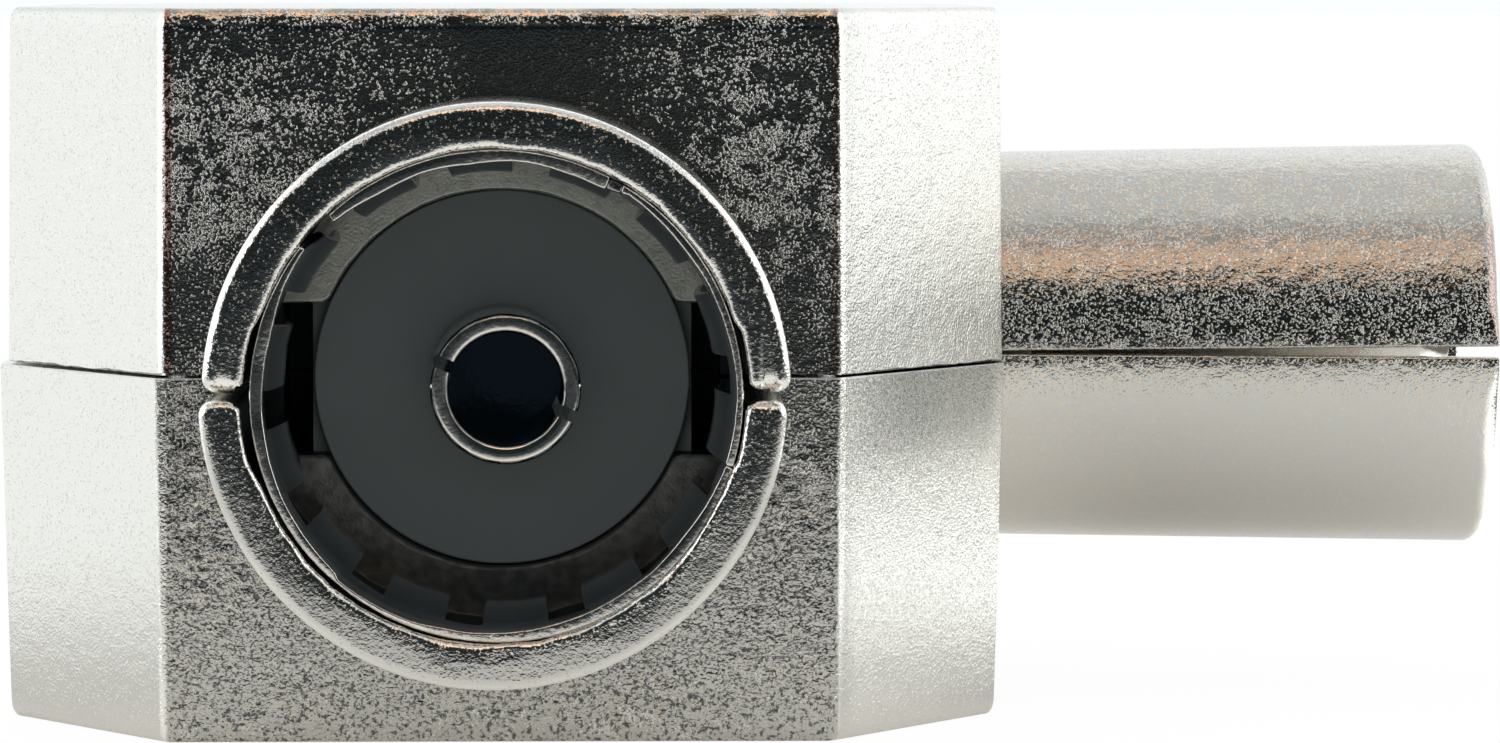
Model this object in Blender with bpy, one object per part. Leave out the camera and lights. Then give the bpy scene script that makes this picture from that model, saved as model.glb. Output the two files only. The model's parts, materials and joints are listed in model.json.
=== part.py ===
"""Push-on coaxial T splitter for aerial leads: one plug, two sockets, die-cast body.

Two nickel-plated zinc half shells meet on a flat parting plane that holds the axes of
all three ports. Each shell carries half of both socket rings and half of the plug
barrel, so the barrel ends up slit along both sides. The sockets lie on the Y axis, the
plug points along +X, and the body stands on the flat base of the lower shell.

Units are metres, +Z is up, and the origin is the centre of the base under the crossing
of the port axes.
"""

import math

import bmesh
import bpy
from mathutils import Matrix, Vector

MM = 0.001

# Body block
BODY_WIDTH = 23.4 * MM
BODY_DEPTH = 30.0 * MM
BODY_HEIGHT = 16.7 * MM
FRONT_FLAT = 15.4 * MM
CHAMFER_DEPTH = 6.3 * MM
UPPER_DRAFT = math.radians(0.5)
LOWER_DRAFT = math.radians(1.6)
RIM_RADIUS = 0.2 * MM
CORNER_RADIUS = 0.16 * MM
PARTING_RADIUS = 0.035 * MM
PARTING_GAP = 0.06 * MM
SHELL_MISMATCH = 0.08 * MM
SHELL_STEP = 0.12 * MM

# Walls of the two castings
CORE_DRAFT = math.radians(1.0)
SIDE_WALL = 1.6 * MM
PLUG_WALL = 2.75 * MM
END_WALL = 4.0 * MM
ROOF_WALL = 1.5 * MM
LEDGE_WIDTH = 0.9 * MM
PEG_DIAMETER = 1.6 * MM
PEG_LENGTH = 2.2 * MM
PEG_TIP = 0.32 * MM
PEG_SEAT_WALL = 1.1 * MM
PEG_END_WALL = 2.0 * MM
CLAMP_RIB_WIDTH = 1.4 * MM
CLAMP_RIB_DEPTH = 1.1 * MM
CLAMP_RIB_INSET = 2.2 * MM

# Slotted spring sleeve, which grips a 9.5 mm plug at its throat
SLEEVE_THROAT = 9.52 * MM
FINGER_BEND = 0.31 * MM
SLEEVE_WALL = 0.2 * MM
SLEEVE_RECESS = 0.15 * MM
SLEEVE_END_GAP = 0.55 * MM
SLEEVE_COLLAR = 1.3 * MM
SLEEVE_TAIL_LENGTH = 2.3 * MM
SLEEVE_TAIL_FLARE = 0.12 * MM
FINGER_COUNT = 14
FINGER_ANGLE = math.radians(16.5)
FINGER_PHASE = math.radians(-8.5)
SEAM_SLOT = 5

# Socket rings, cast as half tubes round the sleeves
SLEEVE_GAP = 0.1 * MM
RING_WALL = 1.01 * MM
RING_RELIEF = 0.1 * MM
RING_RELIEF_ANGLE = math.radians(15.0)
RING_RELIEF_BLEND = math.radians(4.0)
RING_LENGTH = 8.0 * MM
RING_SPLIT = 0.15 * MM
RING_CORNER_RADIUS = 0.33 * MM
RING_EDGE_RADIUS = 0.22 * MM
RING_END_RADIUS = 0.27 * MM
RING_MOUTH_RADIUS = 0.1 * MM

# Socket insulator and the cast seat round it
INSULATOR_DIAMETER = 8.34 * MM
INSULATOR_RIM_REACH = 0.68 * MM
INSULATOR_SET_BACK = 0.8 * MM
INSULATOR_TAIL = 0.9 * MM
INSULATOR_EDGE = 0.12 * MM
INSULATOR_GAP = 0.09 * MM
FLANGE_DEPTH = 7.1 * MM
FLANGE_THICKNESS = 1.3 * MM
FLANGE_OPENING = 3.44 * MM
GROOVE_WIDTH = 1.5 * MM
WINDOW_FLOOR = 0.8 * MM

# Socket centre contact
CONTACT_BORE = 2.5 * MM
CONTACT_WALL = 0.42 * MM
CONTACT_SINK = 0.13 * MM
CONTACT_RECESS = 3.0 * MM
CONTACT_FLOOR = 0.35 * MM
CONTACT_SLOT_WIDTH = 0.27 * MM
CONTACT_SLOT_DEPTH = 3.6 * MM
CONTACT_SLOT_ANGLE = math.radians(-22.0)
CONTACT_LEAN = math.radians(1.8)
CONTACT_SHANK_WALL = 0.25 * MM
CONTACT_EDGE = 0.07 * MM

# Plug barrel, insulator and pin
BARREL_BORE = 8.0 * MM
BARREL_WALL = 0.72 * MM
BARREL_LENGTH = 12.24 * MM
BARREL_RIM_RADIUS = 0.4 * MM
BARREL_SLIT = 0.07 * MM
BARREL_SLIT_MOUTH = 0.27 * MM
BARREL_FLARE = 0.1 * MM
BARREL_SLIT_EDGE = 0.05 * MM
BARREL_SEAT_LIP = 0.04 * MM
PLUG_GROOVE_DEPTH = 0.65 * MM
PLUG_GROOVE_WIDTH = 1.3 * MM
PLUG_GROOVE_WALL = 0.55 * MM
PLUG_SHOULDER = 0.5 * MM
PLUG_BOSS_REACH = 0.95 * MM
PIN_DIAMETER = 2.36 * MM
PIN_RECESS = 0.68 * MM
PIN_TIP_LENGTH = 1.0 * MM
PIN_SHANK = 1.7 * MM

# Solder tails over the board
TAIL_DIAMETER = 1.1 * MM
TAIL_CHAMFER = 0.14 * MM
SOCKET_TAIL_REACH = 2.5 * MM
PLUG_TAIL_REACH = 2.2 * MM

# Circuit board and the parts on it
BOARD_THICKNESS = 1.0 * MM
LEAD_HOLE = 0.8 * MM
LEAD_STUB = 0.6 * MM
CORE_WIDTH = 4.2 * MM
CORE_HEIGHT = 2.5 * MM
CORE_LENGTH = 3.2 * MM
CORE_HOLE = 1.2 * MM
CORE_HOLE_SPACING = 1.9 * MM
WINDING_WIRE = 0.28 * MM
WINDING_TURNS = 2
WINDING_PITCH = 0.4 * MM
WINDING_OVERHANG = 0.35 * MM
WINDING_LEAD_OVERHANG = 0.9 * MM
RESISTOR_DIAMETER = 1.7 * MM
RESISTOR_WAIST = 1.5 * MM
RESISTOR_LENGTH = 3.4 * MM
RESISTOR_CAP_LENGTH = 0.7 * MM
RESISTOR_CAP_EDGE = 0.17 * MM
RESISTOR_LEAD_RUN = 1.2 * MM
CAPACITOR_DIAMETER = 3.6 * MM
CAPACITOR_THICKNESS = 1.5 * MM
CAPACITOR_EDGE = 0.8 * MM
CAPACITOR_LIFT = 0.7 * MM
CAPACITOR_LEAD_SPACING = 1.9 * MM
CAPACITOR_END_SPACE = 5.4 * MM
COMPONENT_LEAD = 0.45 * MM
LEAD_BEND = 0.5 * MM
BEND_SHARE = 0.45

# Clearances between pieces
FIT_GAP = 0.05 * MM
PEG_GAP = 0.05 * MM
BOARD_GAP = 0.1 * MM
SEAT_GAP = 0.05 * MM
GROOVE_GAP = 0.1 * MM

# Facets of the round forms
RING_SEGMENTS = 48
BARREL_SEGMENTS = 40
TURNED_SEGMENTS = 32
CONTACT_SEGMENTS = 28
PEG_SEGMENTS = 12
COMPONENT_SEGMENTS = 12
WIRE_SIDES = 8
RIM_STEPS = 3
CORNER_STEPS = 2
PIN_TIP_STEPS = 6
SHADING_ANGLE = math.radians(32.0)

# Reach of a cutting solid past the face that it cuts, and the width of a rounding error
OVERCUT = 0.6 * MM
TOLERANCE = 0.00001 * MM

# Diameters worked out from the pieces that lie inside each other
SLEEVE_MOUTH = SLEEVE_THROAT + 2 * FINGER_BEND
SLEEVE_DIAMETER = SLEEVE_MOUTH + 2 * SLEEVE_WALL
RING_BORE = SLEEVE_DIAMETER + 2 * SLEEVE_GAP
RING_RELIEF_BORE = RING_BORE + 2 * RING_RELIEF
RING_DIAMETER = RING_BORE + 2 * RING_WALL
INSULATOR_RIM = INSULATOR_DIAMETER + 2 * INSULATOR_RIM_REACH
FLANGE_BORE = INSULATOR_DIAMETER + 2 * INSULATOR_GAP
GROOVE_DIAMETER = INSULATOR_RIM + 2 * GROOVE_GAP
CONTACT_DIAMETER = CONTACT_BORE + 2 * CONTACT_WALL
CONTACT_SHANK = CONTACT_BORE + 2 * CONTACT_SHANK_WALL
BARREL_DIAMETER = BARREL_BORE + 2 * BARREL_WALL
PLUG_GROOVE_DIAMETER = BARREL_BORE + 2 * PLUG_GROOVE_DEPTH
PLUG_BACK_BORE = BARREL_BORE - 2 * PLUG_SHOULDER
PEG_HOLE = PEG_DIAMETER + 2 * PEG_GAP

# Heights and stations, measured from the base and from the port axes
AXIS_HEIGHT = BODY_HEIGHT / 2
FRONT_FACE = BODY_DEPTH / 2
SIDE_FACE = BODY_WIDTH / 2
SIDE_FLAT_END = FRONT_FACE - CHAMFER_DEPTH
RING_RIM = FRONT_FACE + RING_LENGTH
FLANGE_FACE = RING_RIM - FLANGE_DEPTH
FLANGE_BACK = FLANGE_FACE - FLANGE_THICKNESS
GROOVE_BACK = FLANGE_BACK - GROOVE_WIDTH
CAVITY_END = FRONT_FACE - END_WALL
CAVITY_SIDE = SIDE_FACE - PLUG_WALL
CAVITY_ROOF = AXIS_HEIGHT - ROOF_WALL
INSULATOR_FACE = FLANGE_FACE - INSULATOR_SET_BACK
INSULATOR_BACK = GROOVE_BACK - INSULATOR_TAIL
CONTACT_TIP = RING_RIM - CONTACT_RECESS
SLEEVE_LENGTH = FLANGE_DEPTH - SLEEVE_RECESS - SLEEVE_END_GAP
SLEEVE_THROAT_DEPTH = SLEEVE_LENGTH - SLEEVE_TAIL_LENGTH
BARREL_TIP = SIDE_FACE + BARREL_LENGTH
PLUG_GROOVE_FRONT = SIDE_FACE - PLUG_GROOVE_WALL
PLUG_GROOVE_BACK = PLUG_GROOVE_FRONT - PLUG_GROOVE_WIDTH
PEG_ACROSS = GROOVE_DIAMETER / 2 + PEG_SEAT_WALL + PEG_HOLE / 2
BOARD_TOP = -(TAIL_DIAMETER / 2 + BOARD_GAP)
BOARD_BOTTOM = BOARD_TOP - BOARD_THICKNESS

# Row of parts on the board, with equal spaces from the left wall to the plug's solder tail
ROW_START = -(SIDE_FACE - SIDE_WALL)
ROW_END = CAVITY_SIDE - PLUG_TAIL_REACH
TRANSFORMER_FRONT = CORE_LENGTH / 2 + WINDING_OVERHANG + WINDING_WIRE / 2
TRANSFORMER_BACK = CORE_LENGTH / 2 + WINDING_LEAD_OVERHANG + WINDING_WIRE / 2
TRANSFORMER_LENGTH = TRANSFORMER_FRONT + TRANSFORMER_BACK
ROW_SPACE = (ROW_END - ROW_START - RESISTOR_DIAMETER - 2 * TRANSFORMER_LENGTH) / 4
RESISTOR_X = ROW_START + ROW_SPACE + RESISTOR_DIAMETER / 2
SPLITTER_CORE_X = RESISTOR_X + RESISTOR_DIAMETER / 2 + ROW_SPACE + TRANSFORMER_BACK
MATCHING_CORE_X = SPLITTER_CORE_X + TRANSFORMER_FRONT + ROW_SPACE + TRANSFORMER_BACK
INPUT_CAPACITOR = (MATCHING_CORE_X, CAVITY_END - CAPACITOR_END_SPACE)
TRIMMING_CAPACITOR = (SPLITTER_CORE_X, CAPACITOR_END_SPACE - CAVITY_END)


def clear_scene():
    """Remove every object that the new file starts with."""
    for item in list(bpy.data.objects):
        bpy.data.objects.remove(item, do_unlink=True)


def make_material(name, colour, roughness, metallic):
    """Return a Principled material of one colour."""
    material = bpy.data.materials.new(name)
    material.use_nodes = True
    shader = material.node_tree.nodes["Principled BSDF"]
    shader.inputs["Base Color"].default_value = (*colour, 1.0)
    shader.inputs["Roughness"].default_value = roughness
    shader.inputs["Metallic"].default_value = metallic
    return material


def add_object(name, bm, material=None, location=(0.0, 0.0, 0.0), turn=0.0):
    """Write a bmesh to a new object, placed by its location and a turn about Z."""
    mesh = bpy.data.meshes.new(name)
    bmesh.ops.recalc_face_normals(bm, faces=bm.faces)
    bm.to_mesh(mesh)
    bm.free()
    return add_mesh_object(name, mesh, material, location, turn)


def add_mesh_object(name, mesh, material, location, turn=0.0):
    """Place a mesh, which other objects may share, as an object of its own."""
    item = bpy.data.objects.new(name, mesh)
    bpy.context.scene.collection.objects.link(item)
    item.location = location
    item.rotation_euler = (0.0, 0.0, turn)
    if material is not None and not mesh.materials:
        mesh.materials.append(material)
    mesh.shade_smooth()
    mesh.set_sharp_from_angle(angle=SHADING_ANGLE)
    return item


def combine(target, tools, operation):
    """Join or cut the target with each tool in turn, then drop the tools."""
    for tool in tools:
        step = target.modifiers.new(operation.lower(), "BOOLEAN")
        step.operation = operation
        step.solver = "EXACT"
        step.object = tool
    view = bpy.context.evaluated_depsgraph_get()
    result = bpy.data.meshes.new_from_object(target.evaluated_get(view))
    target.modifiers.clear()
    target.data = result
    for tool in tools:
        bpy.data.objects.remove(tool, do_unlink=True)


def polish(item, material):
    """Give a finished casting its material and smooth shading with crisp edges."""
    mesh = item.data
    mesh.materials.clear()
    mesh.materials.append(material)
    mesh.shade_smooth()
    mesh.set_sharp_from_angle(angle=SHADING_ANGLE)


def arc(centre, radius, start, end, steps):
    """Return points along an arc in the plane, both ends included."""
    points = []
    for index in range(steps + 1):
        angle = start + (end - start) * index / steps
        points.append((centre[0] + radius * math.cos(angle), centre[1] + radius * math.sin(angle)))
    return points


def inset_outline(outline, distance):
    """Move each edge of a convex outline inward by a distance."""
    count = len(outline)
    lines = []
    for index in range(count):
        start = Vector(outline[index])
        along = (Vector(outline[(index + 1) % count]) - start).normalized()
        inward = Vector((-along.y, along.x))
        lines.append((start + inward * distance, along))
    moved = []
    for index in range(count):
        before, before_along = lines[index - 1]
        here, here_along = lines[index]
        step = (here - before).cross(here_along) / before_along.cross(here_along)
        moved.append(tuple(before + before_along * step))
    return moved


def rounded_corners(outline, radius, steps):
    """Replace each corner of a convex outline by an arc."""
    count = len(outline)
    points = []
    for index in range(count):
        corner = Vector(outline[index])
        back = (Vector(outline[index - 1]) - corner).normalized()
        ahead = (Vector(outline[(index + 1) % count]) - corner).normalized()
        half = back.angle(ahead) / 2
        centre = corner + (back + ahead).normalized() * radius / math.sin(half)
        first = corner + back * radius / math.tan(half) - centre
        start = math.atan2(first.y, first.x)
        points += arc(centre, radius, start, start + math.pi - 2 * half, steps)
    return points


def body_outline():
    """Return the octagon of the body on the parting plane, anticlockwise from +X."""
    flat = FRONT_FLAT / 2
    right = [(flat, -FRONT_FACE), (SIDE_FACE, -SIDE_FLAT_END), (SIDE_FACE, SIDE_FLAT_END), (flat, FRONT_FACE)]
    left = [(-x, -y) for x, y in right]
    return right + left


def slice_off(bm, point, normal):
    """Cut away what lies beyond a plane, and close the solid again."""
    parts = list(bm.verts) + list(bm.edges) + list(bm.faces)
    cut = bmesh.ops.bisect_plane(bm, geom=parts, plane_co=point, plane_no=normal, clear_outer=True)
    edges = [item for item in cut["geom_cut"] if isinstance(item, bmesh.types.BMEdge)]
    if edges:
        bmesh.ops.contextual_create(bm, geom=edges)


def inside_walls(ledge, gap, bottom, top, draft):
    """Return the solid between the walls, clear of them by a gap and narrowing upward.

    A ledge thickens the side walls, and the end walls stay as they are.
    """
    corner = SIDE_WALL + ledge + gap
    plug_side = PLUG_WALL + ledge + gap
    end = END_WALL + gap
    walls = [corner, plug_side, corner, end, corner, corner, corner, end]
    outline = [Vector(point) for point in body_outline()]
    bm = bmesh.new()
    box = [(x * SIDE_FACE, y * FRONT_FACE) for x, y in ((-1, -1), (1, -1), (1, 1), (-1, 1))]
    loft_outlines(bm, box, box, bottom, top)
    for index, wall in enumerate(walls):
        along = (outline[(index + 1) % len(outline)] - outline[index]).normalized()
        inward = Vector((-along.y, along.x))
        point = outline[index] + inward * wall
        slice_off(bm, (point.x, point.y, bottom), (-inward.x, -inward.y, math.tan(draft)))
    return bm


def skin(bm, sections):
    """Add a closed solid through successive sections of equally many points."""
    rings = [[bm.verts.new(point) for point in section] for section in sections]
    bm.faces.new(rings[0])
    bm.faces.new(rings[-1])
    count = len(rings[0])
    for first, second in zip(rings, rings[1:]):
        for index in range(count):
            after = (index + 1) % count
            bm.faces.new((first[index], first[after], second[after], second[index]))


def extrude_outline(bm, outline, place, span):
    """Add a closed prism: place maps a point and a depth to space, span is its two depths."""
    skin(bm, [[place(point, depth) for point in outline] for depth in span])


def loft_outlines(bm, lower, upper, bottom, top):
    """Add a closed solid between two outlines of equal length at two heights."""
    skin(bm, [[(x, y, bottom) for x, y in lower], [(x, y, top) for x, y in upper]])


def turned(profile, segments, axis):
    """Return a bmesh of a profile of (radius, station) points turned round an axis."""
    bm = bmesh.new()
    side = Vector((0.0, 0.0, 1.0)) if axis != "Z" else Vector((1.0, 0.0, 0.0))
    along = {"X": Vector((1.0, 0.0, 0.0)), "Y": Vector((0.0, 1.0, 0.0)), "Z": Vector((0.0, 0.0, 1.0))}[axis]
    verts = [bm.verts.new(side * radius + along * station) for radius, station in profile]
    edges = [bm.edges.new(pair) for pair in zip(verts, verts[1:])]
    if profile[0][0] > 0.0:
        edges.append(bm.edges.new((verts[-1], verts[0])))
    bmesh.ops.spin(bm, geom=verts + edges, cent=(0.0, 0.0, 0.0), axis=along, dvec=(0.0, 0.0, 0.0),
                   angle=math.tau, steps=segments, use_merge=True, use_duplicate=False)
    bmesh.ops.remove_doubles(bm, verts=bm.verts, dist=TOLERANCE)
    bmesh.ops.recalc_face_normals(bm, faces=bm.faces)
    return bm


def cutter(name, bm):
    """Add a solid that is only used to join or cut."""
    item = add_object(name, bm)
    item.hide_render = True
    item.display_type = "WIRE"
    return item


def half_tube_outline(outer, bore, relief, split, corner, segments):
    """Return the section of half a tube above its split, with rounded ends.

    The bore widens to the relief radius next to the split. The outline runs
    anticlockwise, out along the outer arc and back along the bore.
    """
    level = split / 2 + corner
    outer_x = math.sqrt((outer - corner) ** 2 - level ** 2)
    bore_x = math.sqrt((relief + corner) ** 2 - level ** 2)
    outer_angle = math.atan2(level, outer_x)
    bore_angle = math.atan2(level, bore_x)
    steps = segments // 2
    points = arc((0.0, 0.0), outer, outer_angle, math.pi - outer_angle, steps)
    points += arc((-outer_x, level), corner, math.pi - outer_angle, 1.5 * math.pi, 3)[1:]
    points += arc((-bore_x, level), corner, 1.5 * math.pi, math.tau - bore_angle, 3)
    for index in range(1, steps):
        angle = math.pi - bore_angle - (math.pi - 2 * bore_angle) * index / steps
        rise = min(angle, math.pi - angle) - RING_RELIEF_ANGLE
        blend = min(max(rise / RING_RELIEF_BLEND, 0.0), 1.0)
        radius = relief + (bore - relief) * blend
        points.append((radius * math.cos(angle), radius * math.sin(angle)))
    points += arc((bore_x, level), corner, math.pi + bore_angle, 1.5 * math.pi, 3)
    points += arc((outer_x, level), corner, 1.5 * math.pi, math.tau + outer_angle, 3)[:-1]
    return points


def rounded_tube(bm, outline, widths, place, rim, root, steps):
    """Add a prism whose rim edge is rounded, by a width given for each outline point."""
    count = len(outline)
    inward = []
    for index in range(count):
        along = Vector(outline[(index + 1) % count]) - Vector(outline[index - 1])
        along.normalize()
        inward.append(Vector((-along.y, along.x)))
    sections = [[place(point, root) for point in outline]]
    for sine, cosine in arc((0.0, 0.0), 1.0, math.pi / 2, 0.0, steps):
        section = []
        for point, normal, width in zip(outline, inward, widths):
            moved = Vector(point) + normal * width * (1.0 - cosine)
            section.append(place(moved, rim - width * (1.0 - sine)))
        sections.append(section)
    skin(bm, sections)


def rim_widths(outline, outer, bore, outside, end, inside):
    """Return a rim width for each point: outside, inside, or end near the split."""
    widths = []
    span = outer - bore
    for x, z in outline:
        across = min(max((math.hypot(x, z) - bore) / span, 0.0), 1.0)
        side = inside + (outside - inside) * across
        near_end = min(max(1.0 - z / span, 0.0), 1.0) * 4 * across * (1.0 - across)
        widths.append(side + (end - side) * near_end)
    return widths


def ring_half(direction, shift):
    """Return half a socket ring above the parting plane, on the front or the rear."""
    outline = half_tube_outline(RING_DIAMETER / 2, RING_BORE / 2, RING_RELIEF_BORE / 2,
                                RING_SPLIT, RING_CORNER_RADIUS, RING_SEGMENTS)
    widths = rim_widths(outline, RING_DIAMETER / 2, RING_RELIEF_BORE / 2,
                        RING_EDGE_RADIUS, RING_END_RADIUS, RING_MOUTH_RADIUS)
    bm = bmesh.new()
    rounded_tube(bm, outline, widths, lambda point, depth: (point[0] + shift, direction * depth, point[1]),
                 RING_RIM, FRONT_FACE - OVERCUT, RIM_STEPS)
    return cutter("ring_half", bm)


def seat_disc(direction):
    """Return the part disc that fills the ring above the opening of the insulator seat."""
    radius = (RING_DIAMETER + RING_RELIEF_BORE) / 4
    level = FLANGE_OPENING / 4
    start = math.asin(level / radius)
    outline = arc((0.0, 0.0), radius, start, math.pi - start, RING_SEGMENTS // 2)
    bm = bmesh.new()
    extrude_outline(bm, outline, lambda point, depth: (point[0], direction * depth, point[1]),
                    (FLANGE_FACE, FRONT_FACE - OVERCUT))
    return cutter("seat_disc", bm)


def barrel_half():
    """Return half the plug barrel, which leans away from the other half to its tip."""
    outline = half_tube_outline(BARREL_DIAMETER / 2, BARREL_BORE / 2, BARREL_BORE / 2,
                                BARREL_SLIT, BARREL_SLIT_EDGE, BARREL_SEGMENTS)
    widths = rim_widths(outline, BARREL_DIAMETER / 2, BARREL_BORE / 2,
                        BARREL_RIM_RADIUS, BARREL_SLIT_EDGE, BARREL_SLIT_EDGE)
    bm = bmesh.new()
    root = SIDE_FACE - PLUG_GROOVE_WALL + BARREL_SEAT_LIP
    rounded_tube(bm, outline, widths, lambda point, depth: (depth, point[0], point[1]),
                 BARREL_TIP, root, RIM_STEPS)
    lean = (BARREL_SLIT_MOUTH - BARREL_SLIT) / 2
    grow = 2 * BARREL_FLARE / BARREL_DIAMETER
    for vert in bm.verts:
        share = (vert.co.x - root) / (BARREL_TIP - root)
        vert.co.y *= 1.0 + grow * share
        vert.co.z = vert.co.z * (1.0 + grow * share) + lean * share
    return cutter("barrel_half", bm)


def body_half(shift, step, draft):
    """Return the drafted block of one shell above the parting plane, with rounded edges."""
    foot = PARTING_GAP / 2
    sections = [(foot, PARTING_RADIUS - step), (foot + PARTING_RADIUS, -step)]
    lean = (AXIS_HEIGHT - RIM_RADIUS - foot) * math.tan(draft) - step
    for across, rise in arc((0.0, 0.0), RIM_RADIUS, 0.0, math.pi / 2, RIM_STEPS):
        sections.append((AXIS_HEIGHT - RIM_RADIUS + rise, lean + RIM_RADIUS - across))
    outline = body_outline()
    rings = []
    for level, inset in sections:
        ring = rounded_corners(inset_outline(outline, inset), CORNER_RADIUS, CORNER_STEPS)
        rings.append([(x + shift, y, level) for x, y in ring])
    bm = bmesh.new()
    skin(bm, rings)
    return bm


def cavity_cut(ledge, bottom, top):
    """Return the drafted chamber between two levels above the parting plane."""
    return cutter("cavity_cut", inside_walls(ledge, 0.0, bottom, top, CORE_DRAFT))


def socket_seat_cut(direction):
    """Return the turned pocket that holds one socket insulator."""
    throat = FLANGE_BORE / 2
    groove = GROOVE_DIAMETER / 2
    front = FLANGE_FACE + OVERCUT
    back = CAVITY_END - OVERCUT
    profile = [(0.0, front), (throat, front), (throat, FLANGE_BACK), (groove, FLANGE_BACK),
               (groove, GROOVE_BACK), (throat, GROOVE_BACK), (throat, back), (0.0, back)]
    profile = [(radius, direction * station) for radius, station in profile]
    return cutter("socket_seat_cut", turned(profile, TURNED_SEGMENTS, "Y"))


def side_window_cut(direction):
    """Return the blind slot that opens the seat at both sides, which leaves two C flanges."""
    half = GROOVE_DIAMETER / 2
    level = FLANGE_OPENING / 2
    outline = [(-half, -level), (half, -level), (half, level), (-half, level)]
    bm = bmesh.new()
    extrude_outline(bm, outline, lambda point, depth: (point[0], direction * depth, point[1]),
                    (FLANGE_FACE + OVERCUT, CAVITY_END + WINDOW_FLOOR))
    return cutter("side_window_cut", bm)


def plug_seat_cut():
    """Return the turned pocket that holds the plug insulator."""
    bore = BARREL_BORE / 2 - BARREL_SEAT_LIP
    groove = PLUG_GROOVE_DIAMETER / 2
    back_bore = PLUG_BACK_BORE / 2
    front = SIDE_FACE + OVERCUT
    back = CAVITY_SIDE - OVERCUT
    profile = [(0.0, front), (bore, front), (bore, PLUG_GROOVE_FRONT), (groove, PLUG_GROOVE_FRONT),
               (groove, PLUG_GROOVE_BACK), (back_bore, PLUG_GROOVE_BACK), (back_bore, back), (0.0, back)]
    return cutter("plug_seat_cut", turned(profile, BARREL_SEGMENTS, "X"))


def peg_places():
    """Return the four peg centres, in the solid end walls beside the sockets."""
    station = FRONT_FACE - PEG_END_WALL
    return [(x * PEG_ACROSS, y * station) for x in (-1, 1) for y in (-1, 1)]


def round_bar(name, centre, radius, bottom, top, tip):
    """Return an upright bar with a coned lower end."""
    profile = [(0.0, bottom), (radius - tip, bottom), (radius, bottom + tip), (radius, top), (0.0, top)]
    bm = turned(profile, PEG_SEGMENTS, "Z")
    bmesh.ops.translate(bm, verts=bm.verts, vec=(*centre, 0.0))
    return cutter(name, bm)


def clamp_ribs():
    """Return the four ribs of the upper shell that hold the board down."""
    ribs = []
    walls = ((-1, SIDE_FACE - SIDE_WALL), (1, CAVITY_SIDE))
    for side, wall in walls:
        for end in (-1, 1):
            middle = end * (SIDE_FLAT_END - CLAMP_RIB_INSET)
            half = CLAMP_RIB_WIDTH / 2
            lean = (CAVITY_ROOF - BOARD_TOP) * math.tan(CORE_DRAFT)
            inner = wall - CLAMP_RIB_DEPTH
            clear = wall - BOARD_GAP
            outer = wall + SIDE_WALL / 2
            foot = [(side * inner, middle - half), (side * clear, middle - half),
                    (side * clear, middle + half), (side * inner, middle + half)]
            root = [(side * (inner - lean), middle - half - lean), (side * outer, middle - half - lean),
                    (side * outer, middle + half + lean), (side * (inner - lean), middle + half + lean)]
            bm = bmesh.new()
            loft_outlines(bm, foot, root, BOARD_TOP + SEAT_GAP, CAVITY_ROOF + ROOF_WALL / 2)
            ribs.append(cutter("clamp_rib", bm))
    return ribs


def build_shell(name, material, upper):
    """Cast one half shell: block, two ring halves, barrel half, seats, cavity and pegs.

    The form is made above the parting plane, and the lower shell is then its mirror image.
    """
    if upper:
        shift = 0.0
        block = body_half(shift, 0.0, UPPER_DRAFT)
    else:
        shift = -SHELL_MISMATCH
        block = body_half(shift, SHELL_STEP, LOWER_DRAFT)
    shell = add_object(name, block)
    rings = [ring_half(-1, shift), ring_half(1, shift)]
    combine(shell, rings + [seat_disc(-1), seat_disc(1), barrel_half()], "UNION")
    cuts = [socket_seat_cut(-1), socket_seat_cut(1), side_window_cut(-1), side_window_cut(1), plug_seat_cut()]
    if upper:
        cuts.append(cavity_cut(0.0, -OVERCUT, CAVITY_ROOF))
    else:
        ledge_level = -BOARD_BOTTOM + SEAT_GAP
        cuts.append(cavity_cut(0.0, -OVERCUT, ledge_level))
        cuts.append(cavity_cut(LEDGE_WIDTH, 0.0, CAVITY_ROOF))
        for centre in peg_places():
            cuts.append(round_bar("peg_hole", centre, PEG_HOLE / 2, -OVERCUT, PEG_LENGTH + 2 * PEG_GAP, 0.0))
    combine(shell, cuts, "DIFFERENCE")
    if upper:
        pegs = [round_bar("peg", centre, PEG_DIAMETER / 2, -PEG_LENGTH, PEG_DIAMETER, PEG_TIP)
                for centre in peg_places()]
        combine(shell, pegs + clamp_ribs(), "UNION")
    else:
        shell.data.transform(Matrix.Scale(-1.0, 4, (0.0, 0.0, 1.0)))
        shell.data.flip_normals()
    shell.location = (0.0, 0.0, AXIS_HEIGHT)
    polish(shell, material)
    return shell


def sleeve_radius(depth):
    """Return the inner radius of the spring sleeve at a depth behind its mouth."""
    mouth = SLEEVE_MOUTH / 2
    throat = SLEEVE_THROAT / 2
    if depth <= SLEEVE_COLLAR:
        return mouth
    if depth <= SLEEVE_THROAT_DEPTH:
        share = (depth - SLEEVE_COLLAR) / (SLEEVE_THROAT_DEPTH - SLEEVE_COLLAR)
        return mouth + (throat - mouth) * math.sin(share * math.pi / 2)
    share = (depth - SLEEVE_THROAT_DEPTH) / (SLEEVE_LENGTH - SLEEVE_THROAT_DEPTH)
    return throat + SLEEVE_TAIL_FLARE * share ** 2


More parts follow.
